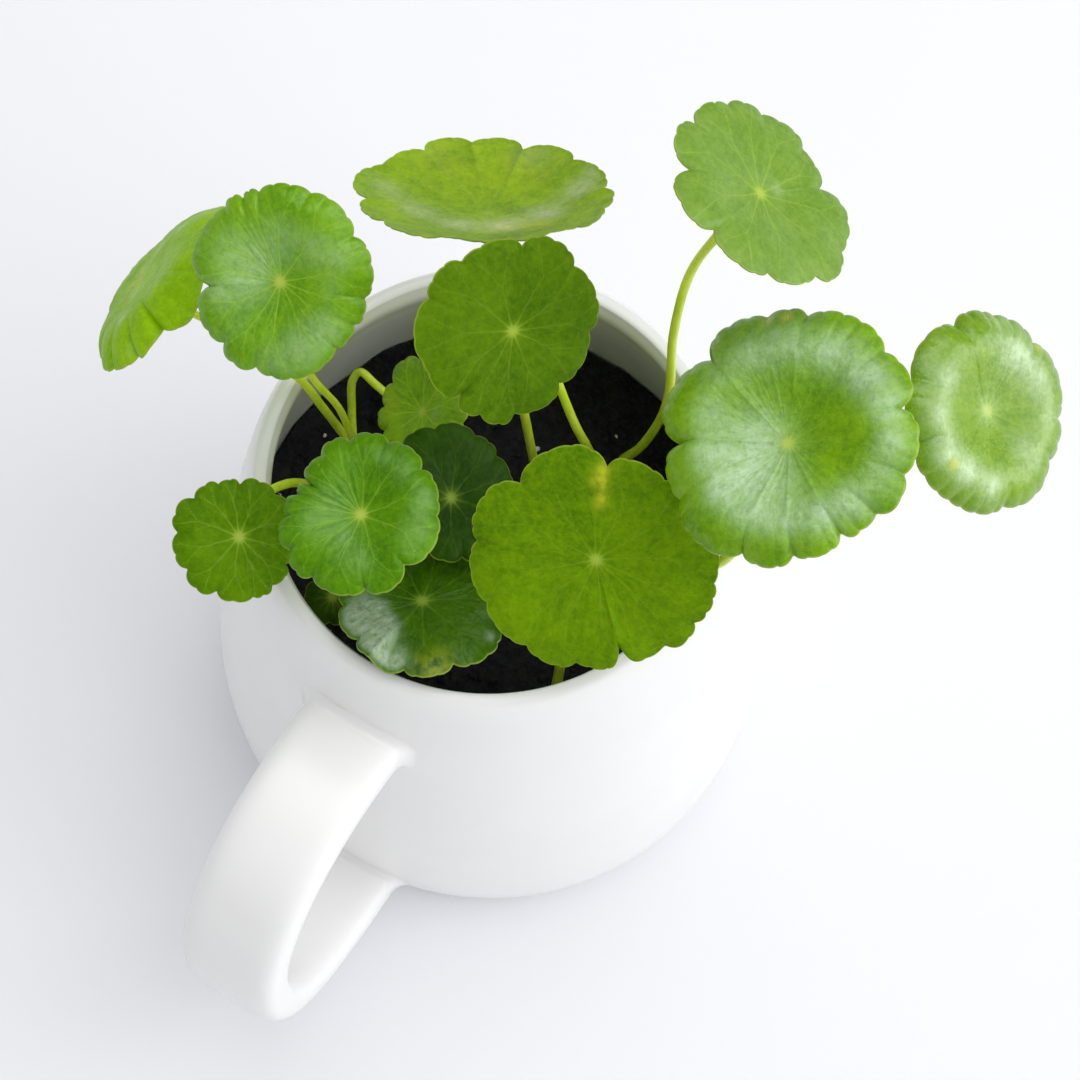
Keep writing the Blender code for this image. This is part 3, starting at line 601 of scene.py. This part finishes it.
def rim_radius(leaf, angles, random):
    """Distance from hub to margin at each angle, and how near the middle of its lobe it is."""
    radius = np.zeros_like(angles)
    middle = np.zeros_like(angles)
    lobes = leaf["lobes"]
    for (start, notch, tip), (end, next_notch, _) in zip(lobes, lobes[1:] + lobes[:1]):
        span = (end - start) % 360
        share = ((np.degrees(angles) - start) % 360) / span
        here = share < 1
        s = share[here]
        base = notch + (next_notch - notch) * s
        swell = 1 - np.abs(2 * s - 1) ** LOBE_POWER
        teeth = max(2, round(radians(span) * tip / TOOTH_LENGTH))
        bends = np.sort(random.uniform(-0.18, 0.18, teeth - 1))
        edges = np.concatenate(([0], (np.arange(1, teeth) + bends) / teeth, [1]))
        tooth = np.clip(np.searchsorted(edges, s, side="right") - 1, 0, teeth - 1)
        within = (s - edges[tooth]) / (edges[tooth + 1] - edges[tooth])
        depth = random.uniform(0.14, 0.42, teeth)[tooth]
        bite = depth * np.abs(2 * within - 1) ** 2.6
        radius[here] = base + (tip - base) * swell - bite
        middle[here] = np.sin(pi * s)
    return radius, middle


def vein_lines(leaf, random):
    """Vein routes as lists of (angle, share, width): one vein for each lobe, forked outwards."""
    lobes = leaf["lobes"]
    lines = []
    starts = [lobe[0] for lobe in lobes]
    for start, end in zip(starts, starts[1:] + starts[:1]):
        span = (end - start) % 360
        parts = 2 if span > 46 else 1
        for part in range(parts):
            middle = start + span * (part + 0.5) / parts + random.uniform(-3, 3)
            reach = span / parts
            fork = random.uniform(0.46, 0.66)
            sway = random.uniform(-2.5, 2.5)
            trunk = [(middle + sway * sin(pi * t / fork), t, 0.27 - 0.14 * t / fork)
                     for t in np.linspace(0.02, fork, 7)]
            lines.append(trunk)
            for turn in (-1, 1):
                spread = turn * reach * random.uniform(0.22, 0.34)
                tip = random.uniform(0.93, 0.98)
                branch = [(middle + spread * (1 - (1 - t) ** 1.7), fork + (tip - fork) * t,
                           0.12 - 0.05 * t) for t in np.linspace(0, 1, 6)]
                lines.append(branch)
                twig_at = random.integers(1, 4)
                angle, share, _ = branch[twig_at]
                twig = turn * reach * random.uniform(0.12, 0.22)
                lines.append([(angle + twig * t, share + (0.97 - share) * t * 0.8, 0.08)
                              for t in np.linspace(0, 1, 4)])
            for turn, away in ((-1, 0.30), (1, 0.38)):
                share = away + random.uniform(-0.05, 0.05)
                bend = turn * reach * random.uniform(0.25, 0.42)
                lines.append([(middle + sway * sin(pi * share / fork) + bend * t,
                               share + 0.26 * t, 0.085 - 0.03 * t)
                              for t in np.linspace(0, 1, 4)])
    return lines


def vein_distances(lines, radius_at, x, y):
    """Signed and plain distance to the nearest vein, and that vein's width."""
    away, side, width = (np.full_like(x, value) for value in (99.0, 99.0, 0.1))
    for line in lines:
        spots = [(share * radius_at(angle) * cos(radians(angle)),
                  share * radius_at(angle) * sin(radians(angle)), w)
                 for angle, share, w in line]
        for (ax, ay, aw), (bx, by, bw) in zip(spots, spots[1:]):
            dx, dy = bx - ax, by - ay
            length = max(1e-6, dx * dx + dy * dy)
            t = np.clip(((x - ax) * dx + (y - ay) * dy) / length, 0, 1)
            ox, oy = x - ax - t * dx, y - ay - t * dy
            distance = np.hypot(ox, oy)
            nearer = distance < away
            sign = np.where(dx * oy - dy * ox < 0, -1.0, 1.0)
            away = np.where(nearer, distance, away)
            side = np.where(nearer, distance * sign, side)
            width = np.where(nearer, aw + (bw - aw) * t, width)
    return side, away, width


def dab(x, y, reach, angle, size):
    """A soft round spot at a reach and an angle in degrees: 1 in its middle."""
    turn = radians(angle)
    return np.exp(-((x - reach * cos(turn)) ** 2 + (y - reach * sin(turn)) ** 2) / size ** 2)


def blade_points(leaf, shares, columns, random):
    """Places, heights and pattern values of a polar grid over the blade."""
    angles = np.arange(columns) * tau / columns
    radius, middle = rim_radius(leaf, angles, random)
    lines = vein_lines(leaf, random)

    def radius_at(angle):
        return np.interp(radians(angle) % tau, np.append(angles, tau), np.append(radius, radius[0]))

    share = np.repeat(np.asarray(shares), columns)
    angle = np.tile(angles, len(shares))
    reach = np.tile(radius, len(shares))
    x, y = share * reach * np.cos(angle), share * reach * np.sin(angle)
    side, away, width = vein_distances(lines, radius_at, x, y)

    look = LOOKS[leaf["look"]]
    seed = random.uniform(0, 50)
    wrinkle, net, wave, streak = np.empty((4, len(x)))
    mean_reach = sum(tip for _, _, tip in leaf["lobes"]) / len(leaf["lobes"])
    for i, (px, py) in enumerate(zip(x, y)):
        spot = Vector((px, py, seed))
        near, second = noise.voronoi(spot / 1.05)[0][:2]
        net[i] = second - near
        wrinkle[i] = noise.fractal(spot / 1.3, 1.0, 2.1, 3)
        wave[i] = noise.noise(spot / 9.0)
        turn = angle[i]
        streak[i] = noise.fractal(Vector((cos(turn) * 11, sin(turn) * 11,
                                          seed + share[i] * reach[i] / 3.2)), 0.8, 2.2, 3)
    fade = smoothstep(0.04, 0.3, share)
    height = leaf["ring"] * 4 * share ** 2 * (1 - share ** 2) + leaf["edge"] * share ** 3
    height += 0.7 * wave * share ** 1.5
    ruffle = leaf.get("ruffle", 0.2)
    height += ruffle * np.tile(middle - 0.6, len(shares)) * smoothstep(0.6, 1.0, share)
    height += fade * look["dome"] * (1 - np.exp(-(away / 0.9) ** 2))
    height += fade * 0.6 * look["dome"] * np.exp(-(away / 0.15) ** 2)
    creases = 0.6 * wrinkle + 0.75 * streak + 0.5 * smoothstep(0.0, 0.5, net)
    height += fade * look["wrinkle"] * creases
    for centre, half, lift in leaf.get("flaps", ()):
        turn = (np.degrees(angle) - centre + 180) % 360 - 180
        height += lift * np.exp(-(turn / half) ** 2) * smoothstep(0.45, 1.0, share)

    blotch = np.zeros_like(x)
    for centre, where, size, strength in leaf.get("spots", ()):
        spot = dab(x, y, where * radius_at(centre), centre, size)
        blotch = np.maximum(blotch, strength * spot)
    dull = np.ones_like(x)
    for start, peak, end, lift in leaf.get("folds", ()):
        turn = (np.degrees(angle) - start) % 360
        rise = np.interp(turn, (0, peak - start, end - start, 360), (0, 1, -0.15, 0))
        height += lift * rise * smoothstep(0.12, 1.0, share)
        # The fold's raised part also gets painted sheen, a pale highlight painted into the colour
        pale = np.interp(turn, (0, 12, peak - start, end - start, 360), (0, 1, 1, 0, 0))
        dull *= 1 - 0.8 * pale * smoothstep(0.3, 0.5, share)
    # Painted sheen: pale highlight patches painted into the colour where light glances off the
    # blade
    for centre, where, size, strength in leaf.get("painted_sheen", ()):
        dull *= 1 - strength * dab(x, y, where * mean_reach, centre, size)
    painted_sheen = 1.45 * (1 - dull) ** 2.1 * (0.78 + 0.2 * streak)
    painted_sheen *= smoothstep(0.05, 1.3, (1 - share) * reach)
    star = np.hypot(x, y) * (1 - 0.35 * np.exp(-(away / 0.3) ** 2))
    values = {"vein_side": side, "vein_away": away, "vein_width": width, "net": net,
              "blotch": blotch, "painted_sheen": painted_sheen, "hub_away": star,
              "rim_away": (1 - share) * reach}
    return np.c_[x, y, height], values


def build_leaf(name, leaf, order):
    """A thin closed blade: a fine grid on top, a coarser one below, joined at the margin."""
    size = max(tip for _, _, tip in leaf["lobes"])
    columns = int(np.clip(round(size * QUARTER_COLUMNS_PER_MM) * 4, *COLUMN_LIMITS))
    rows = int(np.clip(round(size * ROWS_PER_MM), *ROW_LIMITS))
    random = np.random.default_rng(100 + order)
    inner = HUB_RING / size
    shares = inner + (1 - inner) * np.linspace(0, 1, rows) ** 0.92
    flat, values = blade_points(leaf, shares, columns, random)
    across, along, up = (np.array(axis) for axis in leaf_axes(leaf))
    top = np.array(leaf["hub"]) + flat @ np.array([across, along, up])

    kept = np.unique(np.concatenate((np.arange(0, rows, RINGS_PER_LOWER), [rows - 1])))
    index = (kept[:, None] * columns + np.arange(columns)).ravel()
    share = np.repeat(shares[kept], columns)
    depth = BLADE_THICKNESS * (1 - 0.45 * share ** 3)
    ridge = BLADE_RIDGE * np.exp(-(values["vein_away"][index] / 0.35) ** 2) * (1 - share)
    below = top[index] - up * (depth + ridge)[:, None]
    points = np.vstack((top, below, top[:columns].mean(0), below[:columns].mean(0)))

    first = len(top)
    faces = grid_faces(rows, columns)
    faces += grid_faces(len(kept), columns, first, flip=True)
    rim_top, rim_low = (rows - 1) * columns, first + (len(kept) - 1) * columns
    middle_top, middle_low = len(points) - 2, len(points) - 1
    for i in range(columns):
        j = (i + 1) % columns
        faces.append((rim_top + i, rim_low + i, rim_low + j, rim_top + j))
    faces += end_fans(columns, 0, first, middle_top, middle_low)
    for key, value in values.items():
        values[key] = np.concatenate((value, value[index], value[:1], value[:1]))
    look = LOOKS[leaf["look"]]
    finish = leaf_material(name, look, order * 3.7)
    piece = new_piece(f"blade_{name}", points, faces, finish, values, sharp=65)
    stand_for(piece, f"leaf_{name}")


# Stalks

def soil_height(x):
    return SOIL_LEVEL - SOIL_FALL * x


def soil_sunk(x, y):
    """How far the soil lies below its plain slope."""
    turn = np.degrees(np.arctan2(y, x)) - SUNK_AZIMUTH
    return SUNK_DEPTH * np.exp(-(turn / SUNK_HALF) ** 2) * smoothstep(14, 38, np.hypot(x, y))


def soil_level(x, y):
    return soil_height(x) - soil_sunk(x, y)


def tube(route, radii, sides):
    """Rings of points along a route, turned as little as possible from one to the next."""
    points = []
    across = None
    for i, spot in enumerate(route):
        ahead = heading(route, i)
        if across is None:
            across = ahead.orthogonal().normalized()
        across = (across - ahead * across.dot(ahead)).normalized()
        third = ahead.cross(across)
        for k in range(sides):
            turn = k * tau / sides
            points.append(spot + (across * cos(turn) + third * sin(turn)) * radii[i][k])
    return points


def build_stalk(name, leaf, finish, order):
    """The leaf's stalk: a little swollen at the foot, spread where it meets the blade."""
    up = leaf_axes(leaf)[2]
    random = np.random.default_rng(300 + order)
    radius = STALK_RADIUS * leaf.get("thick", 1)
    (foot_x, foot_y), *middle = leaf["stalk"]
    foot_z = soil_level(foot_x, foot_y) - 2.0
    stations = [Vector((foot_x, foot_y, foot_z)),
                Vector((foot_x, foot_y, soil_height(foot_x) + 0.6)), *map(Vector, middle),
                Vector(leaf["hub"]) - up * STALK_NECK, Vector(leaf["hub"]) - up * STALK_SINK]
    route = spline_points(stations, STALK_STEPS)
    sides = STALK_SIDES
    seed = random.uniform(0, 40)
    steps = np.array([0] + [(b - a).length for a, b in zip(route, route[1:])]).cumsum()
    share = steps / steps[-1]
    radii = []
    for i, spot in enumerate(route):
        left = steps[-1] - steps[i]
        swell = 1 + 0.28 * np.exp(-(steps[i] / 5) ** 2) + 0.55 * np.exp(-(left / 0.8) ** 2)
        swell *= 1 - 0.18 * share[i]
        swell *= 1 + 0.05 * noise.noise(Vector((steps[i] / 4, seed, 0)))
        ribs = [1 + 0.035 * noise.noise(Vector((k * 1.3, seed, steps[i] / 30)))
                for k in range(sides)]
        radii.append([radius * swell * rib for rib in ribs])
    points = tube(route, radii, sides)
    faces = grid_faces(len(route), sides, flip=True)
    count = len(points)
    points += [route[0], route[-1]]
    faces += end_fans(sides, (len(route) - 1) * sides, 0, count + 1, count)
    along = np.concatenate((np.repeat(share, sides), [0, 1]))
    piece = new_piece(f"stem_{name}", [tuple(p) for p in points], faces, finish,
                      {"along": along})
    stand_for(piece, f"stalk_{name}")


# Mug

def mug_radius(height):
    """The outer wall's radius at a height, or at many."""
    return np.interp(height, *zip(*MUG_OUTER))


def fine_profile():
    """Smooth (radius, height) points from the inner floor's centre round to the foot's."""
    lip = MUG_OUTER[-1][1]
    inside = [(mug_radius(z) - WALL, z) for z in reversed(INNER_HEIGHTS)]
    inside = [(0, FLOOR_THICKNESS), (20, FLOOR_THICKNESS), (36, FLOOR_THICKNESS + 0.3), *inside]
    crown = [(lip - LIP_WALL, 99.4), (lip - LIP_WALL + 0.2, 99.85), (lip - LIP_WALL / 2, 100),
             (lip - 0.45, 99.75)]
    outside = [(radius, height) for height, radius in reversed(MUG_OUTER[1:])]
    foot = [(44.6, 0.15), (43.2, 0.0), (41.5, 0.35), (40, 0.9), (20, 1.0), (0, 1.0)]
    points = [Vector((r, z, 0)) for r, z in inside + crown + outside + foot]
    return [(max(0.0, p.x), p.y) for p in spline_points(points, 4)]


def build_mug():
    """Turned body and flat strap handle, joined with soft fillets."""
    profile = fine_profile()
    columns = MUG_COLUMNS
    turns = np.arange(columns) * tau / columns
    rings = [(r, z) for r, z in profile if r > 0.01]
    points = [spot for r, z in rings for spot in ring(r, z, turns)]
    faces = grid_faces(len(rings), columns)
    count = len(points)
    points += [(0, 0, profile[0][1]), (0, 0, profile[-1][1])]
    faces += end_fans(columns, 0, (len(rings) - 1) * columns, count, count + 1)
    body = new_piece("mug_fine", points, faces, glaze_material())
    wall = wall_table(profile)
    handle = build_handle_blank(wall)
    skins = [(v.co.copy(), v.normal.copy(), solid is handle) for solid in (body, handle)
             for v in solid.data.vertices]
    core = build_core()
    combine(handle, core, "DIFFERENCE")
    combine(body, handle, "UNION")
    keep_normals(body, skins, wall)
    mark_inside(body)
    stand_for(body, "mug")


def combine(piece, tool, operation):
    """Joins or cuts a piece with a tool, which is then removed."""
    join = piece.modifiers.new("Combine", "BOOLEAN")
    join.operation = operation
    join.solver = "EXACT"
    join.object = tool
    evaluated = piece.evaluated_get(bpy.context.evaluated_depsgraph_get())
    made = bpy.data.meshes.new_from_object(evaluated)
    piece.modifiers.clear()
    piece.data = made
    bpy.data.objects.remove(tool, do_unlink=True)


def wall_table(profile):
    """Heights, radii and slopes of the outer wall, for wall_at."""
    rows = [(z, r, z1 - z2, r2 - r1) for (r1, z1), (r, z), (r2, z2)
            in zip(profile, profile[1:], profile[2:]) if r > mug_radius(z) - WALL / 2 and z > 1]
    return [np.array(row) for row in zip(*sorted(rows))]


def wall_at(wall, spot):
    """How far a point lies outside the wall, and the wall's normal there."""
    radius, out, rise = (float(np.interp(spot.z, wall[0], row)) for row in wall[1:])
    level = Vector((spot.x, spot.y, 0))
    normal = (level.normalized() * out + Vector((0, 0, rise))).normalized()
    return level.length - radius, normal


def keep_normals(body, skins, wall):
    """Shades each point as before the joining, and the fillet as a round that meets the wall."""
    tree = KDTree(len(skins))
    for index, (place, _, _) in enumerate(skins):
        tree.insert(place, index)
    tree.balance()
    normals = []
    for vertex in body.data.vertices:
        _, index, away = tree.find(vertex.co)
        gap, out = wall_at(wall, vertex.co / MM)
        if away > SAME_POINT * MM:
            normals.append(out)
            continue
        _, own, on_handle = skins[index]
        if on_handle and gap < HANDLE_FILLET / 2:
            level = (own - out * own.dot(out)).normalized()
            share = 1 - max(gap, 0) / HANDLE_FILLET
            own = out * share + level * sqrt(1 - share ** 2)
        normals.append(own)
    body.data.normals_split_custom_set_from_vertices(normals)


def fillet(gap):
    """How far the handle's skin spreads along the wall where it is this far from it."""
    near = min(max(gap, 0), HANDLE_FILLET)
    return HANDLE_FILLET - sqrt(HANDLE_FILLET ** 2 - (HANDLE_FILLET - near) ** 2)


def strap_outline(turn, spread=0):
    """A point of the strap's rounded section: across the strap, and through it."""
    c, s = cos(turn), sin(turn)
    w = (HANDLE_WIDTH / 2 + spread) * abs(c) ** 0.42 * (1 if c > 0 else -1)
    t = (HANDLE_THICKNESS / 2 + spread) * abs(s) ** 0.62 * (1 if s > 0 else -1)
    return w, t


def build_core():
    """A turned solid just inside the wall, which keeps the handle out of the cup."""
    columns = CORE_COLUMNS
    heights = (-20, 0, 10, 20, 30, 42, 56, 70, 82, 91, 96, 120)
    turns = np.arange(columns) * tau / columns
    points = [tuple(c * MM for c in spot) for z in heights
              for spot in ring(mug_radius(z) - HANDLE_BITE, z, turns)]
    faces = grid_faces(len(heights), columns, flip=True)
    faces.append(tuple(reversed(range(columns))))
    last = (len(heights) - 1) * columns
    faces.append(tuple(last + k for k in range(columns)))
    return closed_solid("core", points, faces)


def build_handle_blank(wall):
    """Strap sections along the route, which spread along the wall into a fillet."""
    route = spline_points([Vector((r, z, 0)) for r, z in HANDLE_ROUTE], HANDLE_STEPS)
    ends = 3 * HANDLE_STEPS
    route = [spot for i, spot in enumerate(route)
             if i % HANDLE_THINNING == 0 or i < ends or i > len(route) - ends]
    azimuth = radians(HANDLE_AZIMUTH)
    outward = Vector((cos(azimuth), sin(azimuth), 0))
    sideways = Vector((-sin(azimuth), cos(azimuth), 0))
    sections = HANDLE_SIDES
    points = []
    for i, spot in enumerate(route):
        ahead = heading(route, i)
        normal = Vector((-ahead.y, ahead.x, 0))
        for k in range(sections):
            turn = k * tau / sections
            w, t = strap_outline(turn)
            place = spot + normal * t
            point = outward * place.x + Vector((0, 0, place.y)) + sideways * w
            gap, out = wall_at(wall, point)
            if gap < HANDLE_FILLET:
                wide, thick = (a - b for a, b in zip(strap_outline(turn, 1), (w, t)))
                away = outward * normal.x * thick + Vector((0, 0, normal.y * thick))
                away += sideways * wide
                point += (away - out * away.dot(out)).normalized() * fillet(gap)
                point -= out * (wall_at(wall, point)[0] - gap)
            points.append(point)
    faces = grid_faces(len(route), sections)
    faces.append(tuple(range(sections)))
    last = (len(route) - 1) * sections
    faces.append(tuple(last + k for k in reversed(range(sections))))
    return closed_solid("handle_blank", [tuple(p * MM) for p in points], faces)


def closed_solid(name, points, faces):
    """A mesh object with its faces turned outwards."""
    mesh = bpy.data.meshes.new(name)
    mesh.from_pydata(points, [], faces)
    work = bmesh.new()
    work.from_mesh(mesh)
    bmesh.ops.recalc_face_normals(work, faces=work.faces)
    work.to_mesh(mesh)
    work.free()
    mesh.shade_smooth()
    return put(name, mesh)


def mark_inside(body):
    """Depth below the lip on the inner wall, and height over the soil line."""
    mesh = body.data
    spots = np.empty(len(mesh.vertices) * 3)
    mesh.vertices.foreach_get("co", spots)
    x, y, z = spots.reshape(-1, 3).T / MM
    reach, middle = np.hypot(x, y), mug_radius(z) - WALL / 2
    lip_inner = MUG_OUTER[-1][1] - LIP_WALL / 2
    inner = (reach < np.minimum(middle, lip_inner)) & (z > 3)
    inner |= (z > 90) & (reach < middle)
    depth = np.where(inner, MUG_HEIGHT - z, -1)
    above = z - soil_height(x) + soil_sunk(x, y)
    for label, values in (("inside", depth), ("above_soil", above)):
        layer = mesh.attributes.new(label, "FLOAT", "POINT")
        layer.data.foreach_set("value", values.astype(np.float32))


# Soil

def soil_relief(x, y):
    """Height of the soil's crumbs over its smooth slope."""
    spot = Vector((x, y, 4.2))
    lumps = noise.fractal(spot / 9, 1.0, 2.1, 3) * 1.1
    crumbs = noise.fractal(spot / 2.4, 0.8, 2.2, 4) * 0.75
    cells = noise.voronoi(spot / 2.1)[0]
    return lumps + crumbs + 0.8 * (0.5 - min(0.9, cells[0]))


def build_soil():
    """Crumbly soil: a rough top on a plain body that fills the mug."""
    columns, rows = SOIL_COLUMNS, SOIL_ROWS
    turns = np.arange(columns) * tau / columns
    middle_reach = mug_radius(soil_height(0)) - WALL - SOIL_GAP
    points = []
    for row in range(rows):
        share = (row + 0.5) / (rows - 0.5)
        for a in turns:
            reach = middle_reach
            for _ in range(3):
                x, y = reach * cos(a), reach * sin(a)
                reach = mug_radius(soil_level(x, y)) - WALL - SOIL_GAP
            x, y = share * reach * cos(a), share * reach * sin(a)
            rim = 1 - smoothstep(0.9, 1.0, share)
            climb = 1.2 * smoothstep(0.86, 1.0, share) * (0.5 + noise.noise(Vector((x, y, 0)) / 6))
            relief = soil_relief(x, y) * (0.35 + 0.65 * rim)
            points.append((x, y, soil_level(x, y) + relief + climb))
    lower = (60, 45, 26, 14)
    for height in lower:
        points += ring(mug_radius(height) - WALL - SOIL_GAP, height, turns)
    base = 7
    points += ring(mug_radius(base) - 2 * (WALL + SOIL_GAP), base, turns)
    total = rows + len(lower) + 1
    faces = grid_faces(total, columns)
    count = len(points)
    middle = np.array(points[:columns]).mean(0)
    points += [tuple(middle), (0, 0, base)]
    faces += end_fans(columns, 0, (total - 1) * columns, count, count + 1)
    soil = new_piece("soil_fine", points, faces, soil_material())
    stand_for(soil, "soil")


def build_grains(name, count, sizes, finish, seed):
    """Crumbs strewn on the soil, as one joined mesh of lumpy balls."""
    random = np.random.default_rng(seed)
    ball = bmesh.new()
    bmesh.ops.create_icosphere(ball, subdivisions=2, radius=1)
    shape = np.array([v.co for v in ball.verts])
    triangles = [tuple(v.index for v in f.verts) for f in ball.faces]
    ball.free()
    points, faces = [], []
    for _ in range(count):
        reach = GRAIN_REACH * np.sqrt(random.uniform(0, 1))
        a = random.uniform(0, tau)
        x, y = reach * cos(a), reach * sin(a)
        size = random.uniform(*sizes) * random.uniform(0.6, 1)
        stretch = np.array([1, random.uniform(0.6, 1), random.uniform(0.5, 0.9) * GRAIN_FLAT])
        spin = np.array(Matrix.Rotation(random.uniform(0, tau), 3, "Z")
                        @ Matrix.Rotation(random.uniform(-0.6, 0.6), 3, "X"))
        offset = random.uniform(0, 90)
        lump = [1 + 0.35 * noise.noise(Vector(v) * 1.6 + Vector((offset, 0, 0))) for v in shape]
        grain = (shape * np.array(lump)[:, None] * size * stretch) @ spin.T
        z = soil_level(x, y) + soil_relief(x, y) + size * 0.15
        faces += [tuple(len(points) + i for i in t) for t in triangles]
        points += (grain + np.array([x, y, z])).tolist()
    grains = new_piece(name, points, faces, finish)
    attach(grains, "root")


# Stage, lights and camera

def build_stage():
    """Pale cool floor."""
    bpy.ops.mesh.primitive_plane_add(size=8)
    floor = bpy.context.active_object
    floor.name = "floor"
    made = Nodes("pale_floor")
    tone = made.ramp(made.noise(3, detail=2), 0.3, 0.7)
    colour = made.mix(tone, (0.872, 0.880, 0.914), (0.885, 0.893, 0.927))
    floor.data.materials.append(made.finish(colour, 0.7, Specular_IOR_Level=0.2))


def build_lamp(name, way, distance, aim, size, radiance, only_gloss):
    """A rectangular soft box that faces the mug; its power follows from its radiance."""
    light = bpy.data.lights.new(name, "AREA")
    light.shape = "RECTANGLE"
    light.size, light.size_y = size
    light.energy = radiance * pi * size[0] * size[1]
    lamp = put(name, light)
    lamp.location = Vector(way).normalized() * distance
    lamp.rotation_euler = (Vector((0, 0, aim)) - lamp.location).to_track_quat("-Z", "Y").to_euler()
    lamp.visible_diffuse = not only_gloss


def build_lights():
    """A pale room all around, a soft box above, a panel at the right, and what gloss mirrors."""
    for lamp in LAMPS:
        build_lamp(*lamp)
    world = bpy.data.worlds.new("pale_room")
    bpy.context.scene.world = world
    world.use_nodes = True
    nodes, links = world.node_tree.nodes, world.node_tree.links
    background = nodes["Background"]
    background.inputs["Color"].default_value = ROOM_COLOUR
    path = nodes.new("ShaderNodeLightPath")
    strength = nodes.new("ShaderNodeMapRange")
    strength.inputs["To Min"].default_value = ROOM_LIGHT
    strength.inputs["To Max"].default_value = ROOM_MIRRORED
    links.new(path.outputs["Is Glossy Ray"], strength.inputs["Value"])
    links.new(strength.outputs["Result"], background.inputs["Strength"])


def build_camera():
    tip, roll = radians(CAMERA_PITCH), radians(CAMERA_ROLL)
    forward = Vector((0, cos(tip), -sin(tip)))
    level = Vector((1, 0, 0))
    upward = level.cross(forward)
    right = level * cos(roll) + upward * sin(roll)
    up = upward * cos(roll) - level * sin(roll)
    lens = bpy.data.cameras.new("camera")
    lens.lens = CAMERA_LENS
    lens.sensor_width = CAMERA_SENSOR
    lens.clip_start = 0.01
    camera = put("camera", lens)
    turn = Matrix((right, up, -forward)).transposed()
    camera.matrix_world = Matrix.Translation(Vector(CAMERA_PLACE) * MM) @ turn.to_4x4()
    bpy.context.scene.camera = camera


def main():
    build_camera()
    build_stage()
    build_lights()
    bpy.context.scene.view_settings.view_transform = "Standard"
    build_mug()
    build_soil()
    build_grains("soil_crumbs", 420, (0.5, 1.3), soil_material(), 11)
    build_grains("pale_grit", 30, (0.4, 0.75), speck_material(), 12)
    stalk_finish = stalk_material()
    for order, (name, leaf) in enumerate(LEAVES.items()):
        build_leaf(name, leaf, order)
        build_stalk(name, leaf, stalk_finish, order)


main()
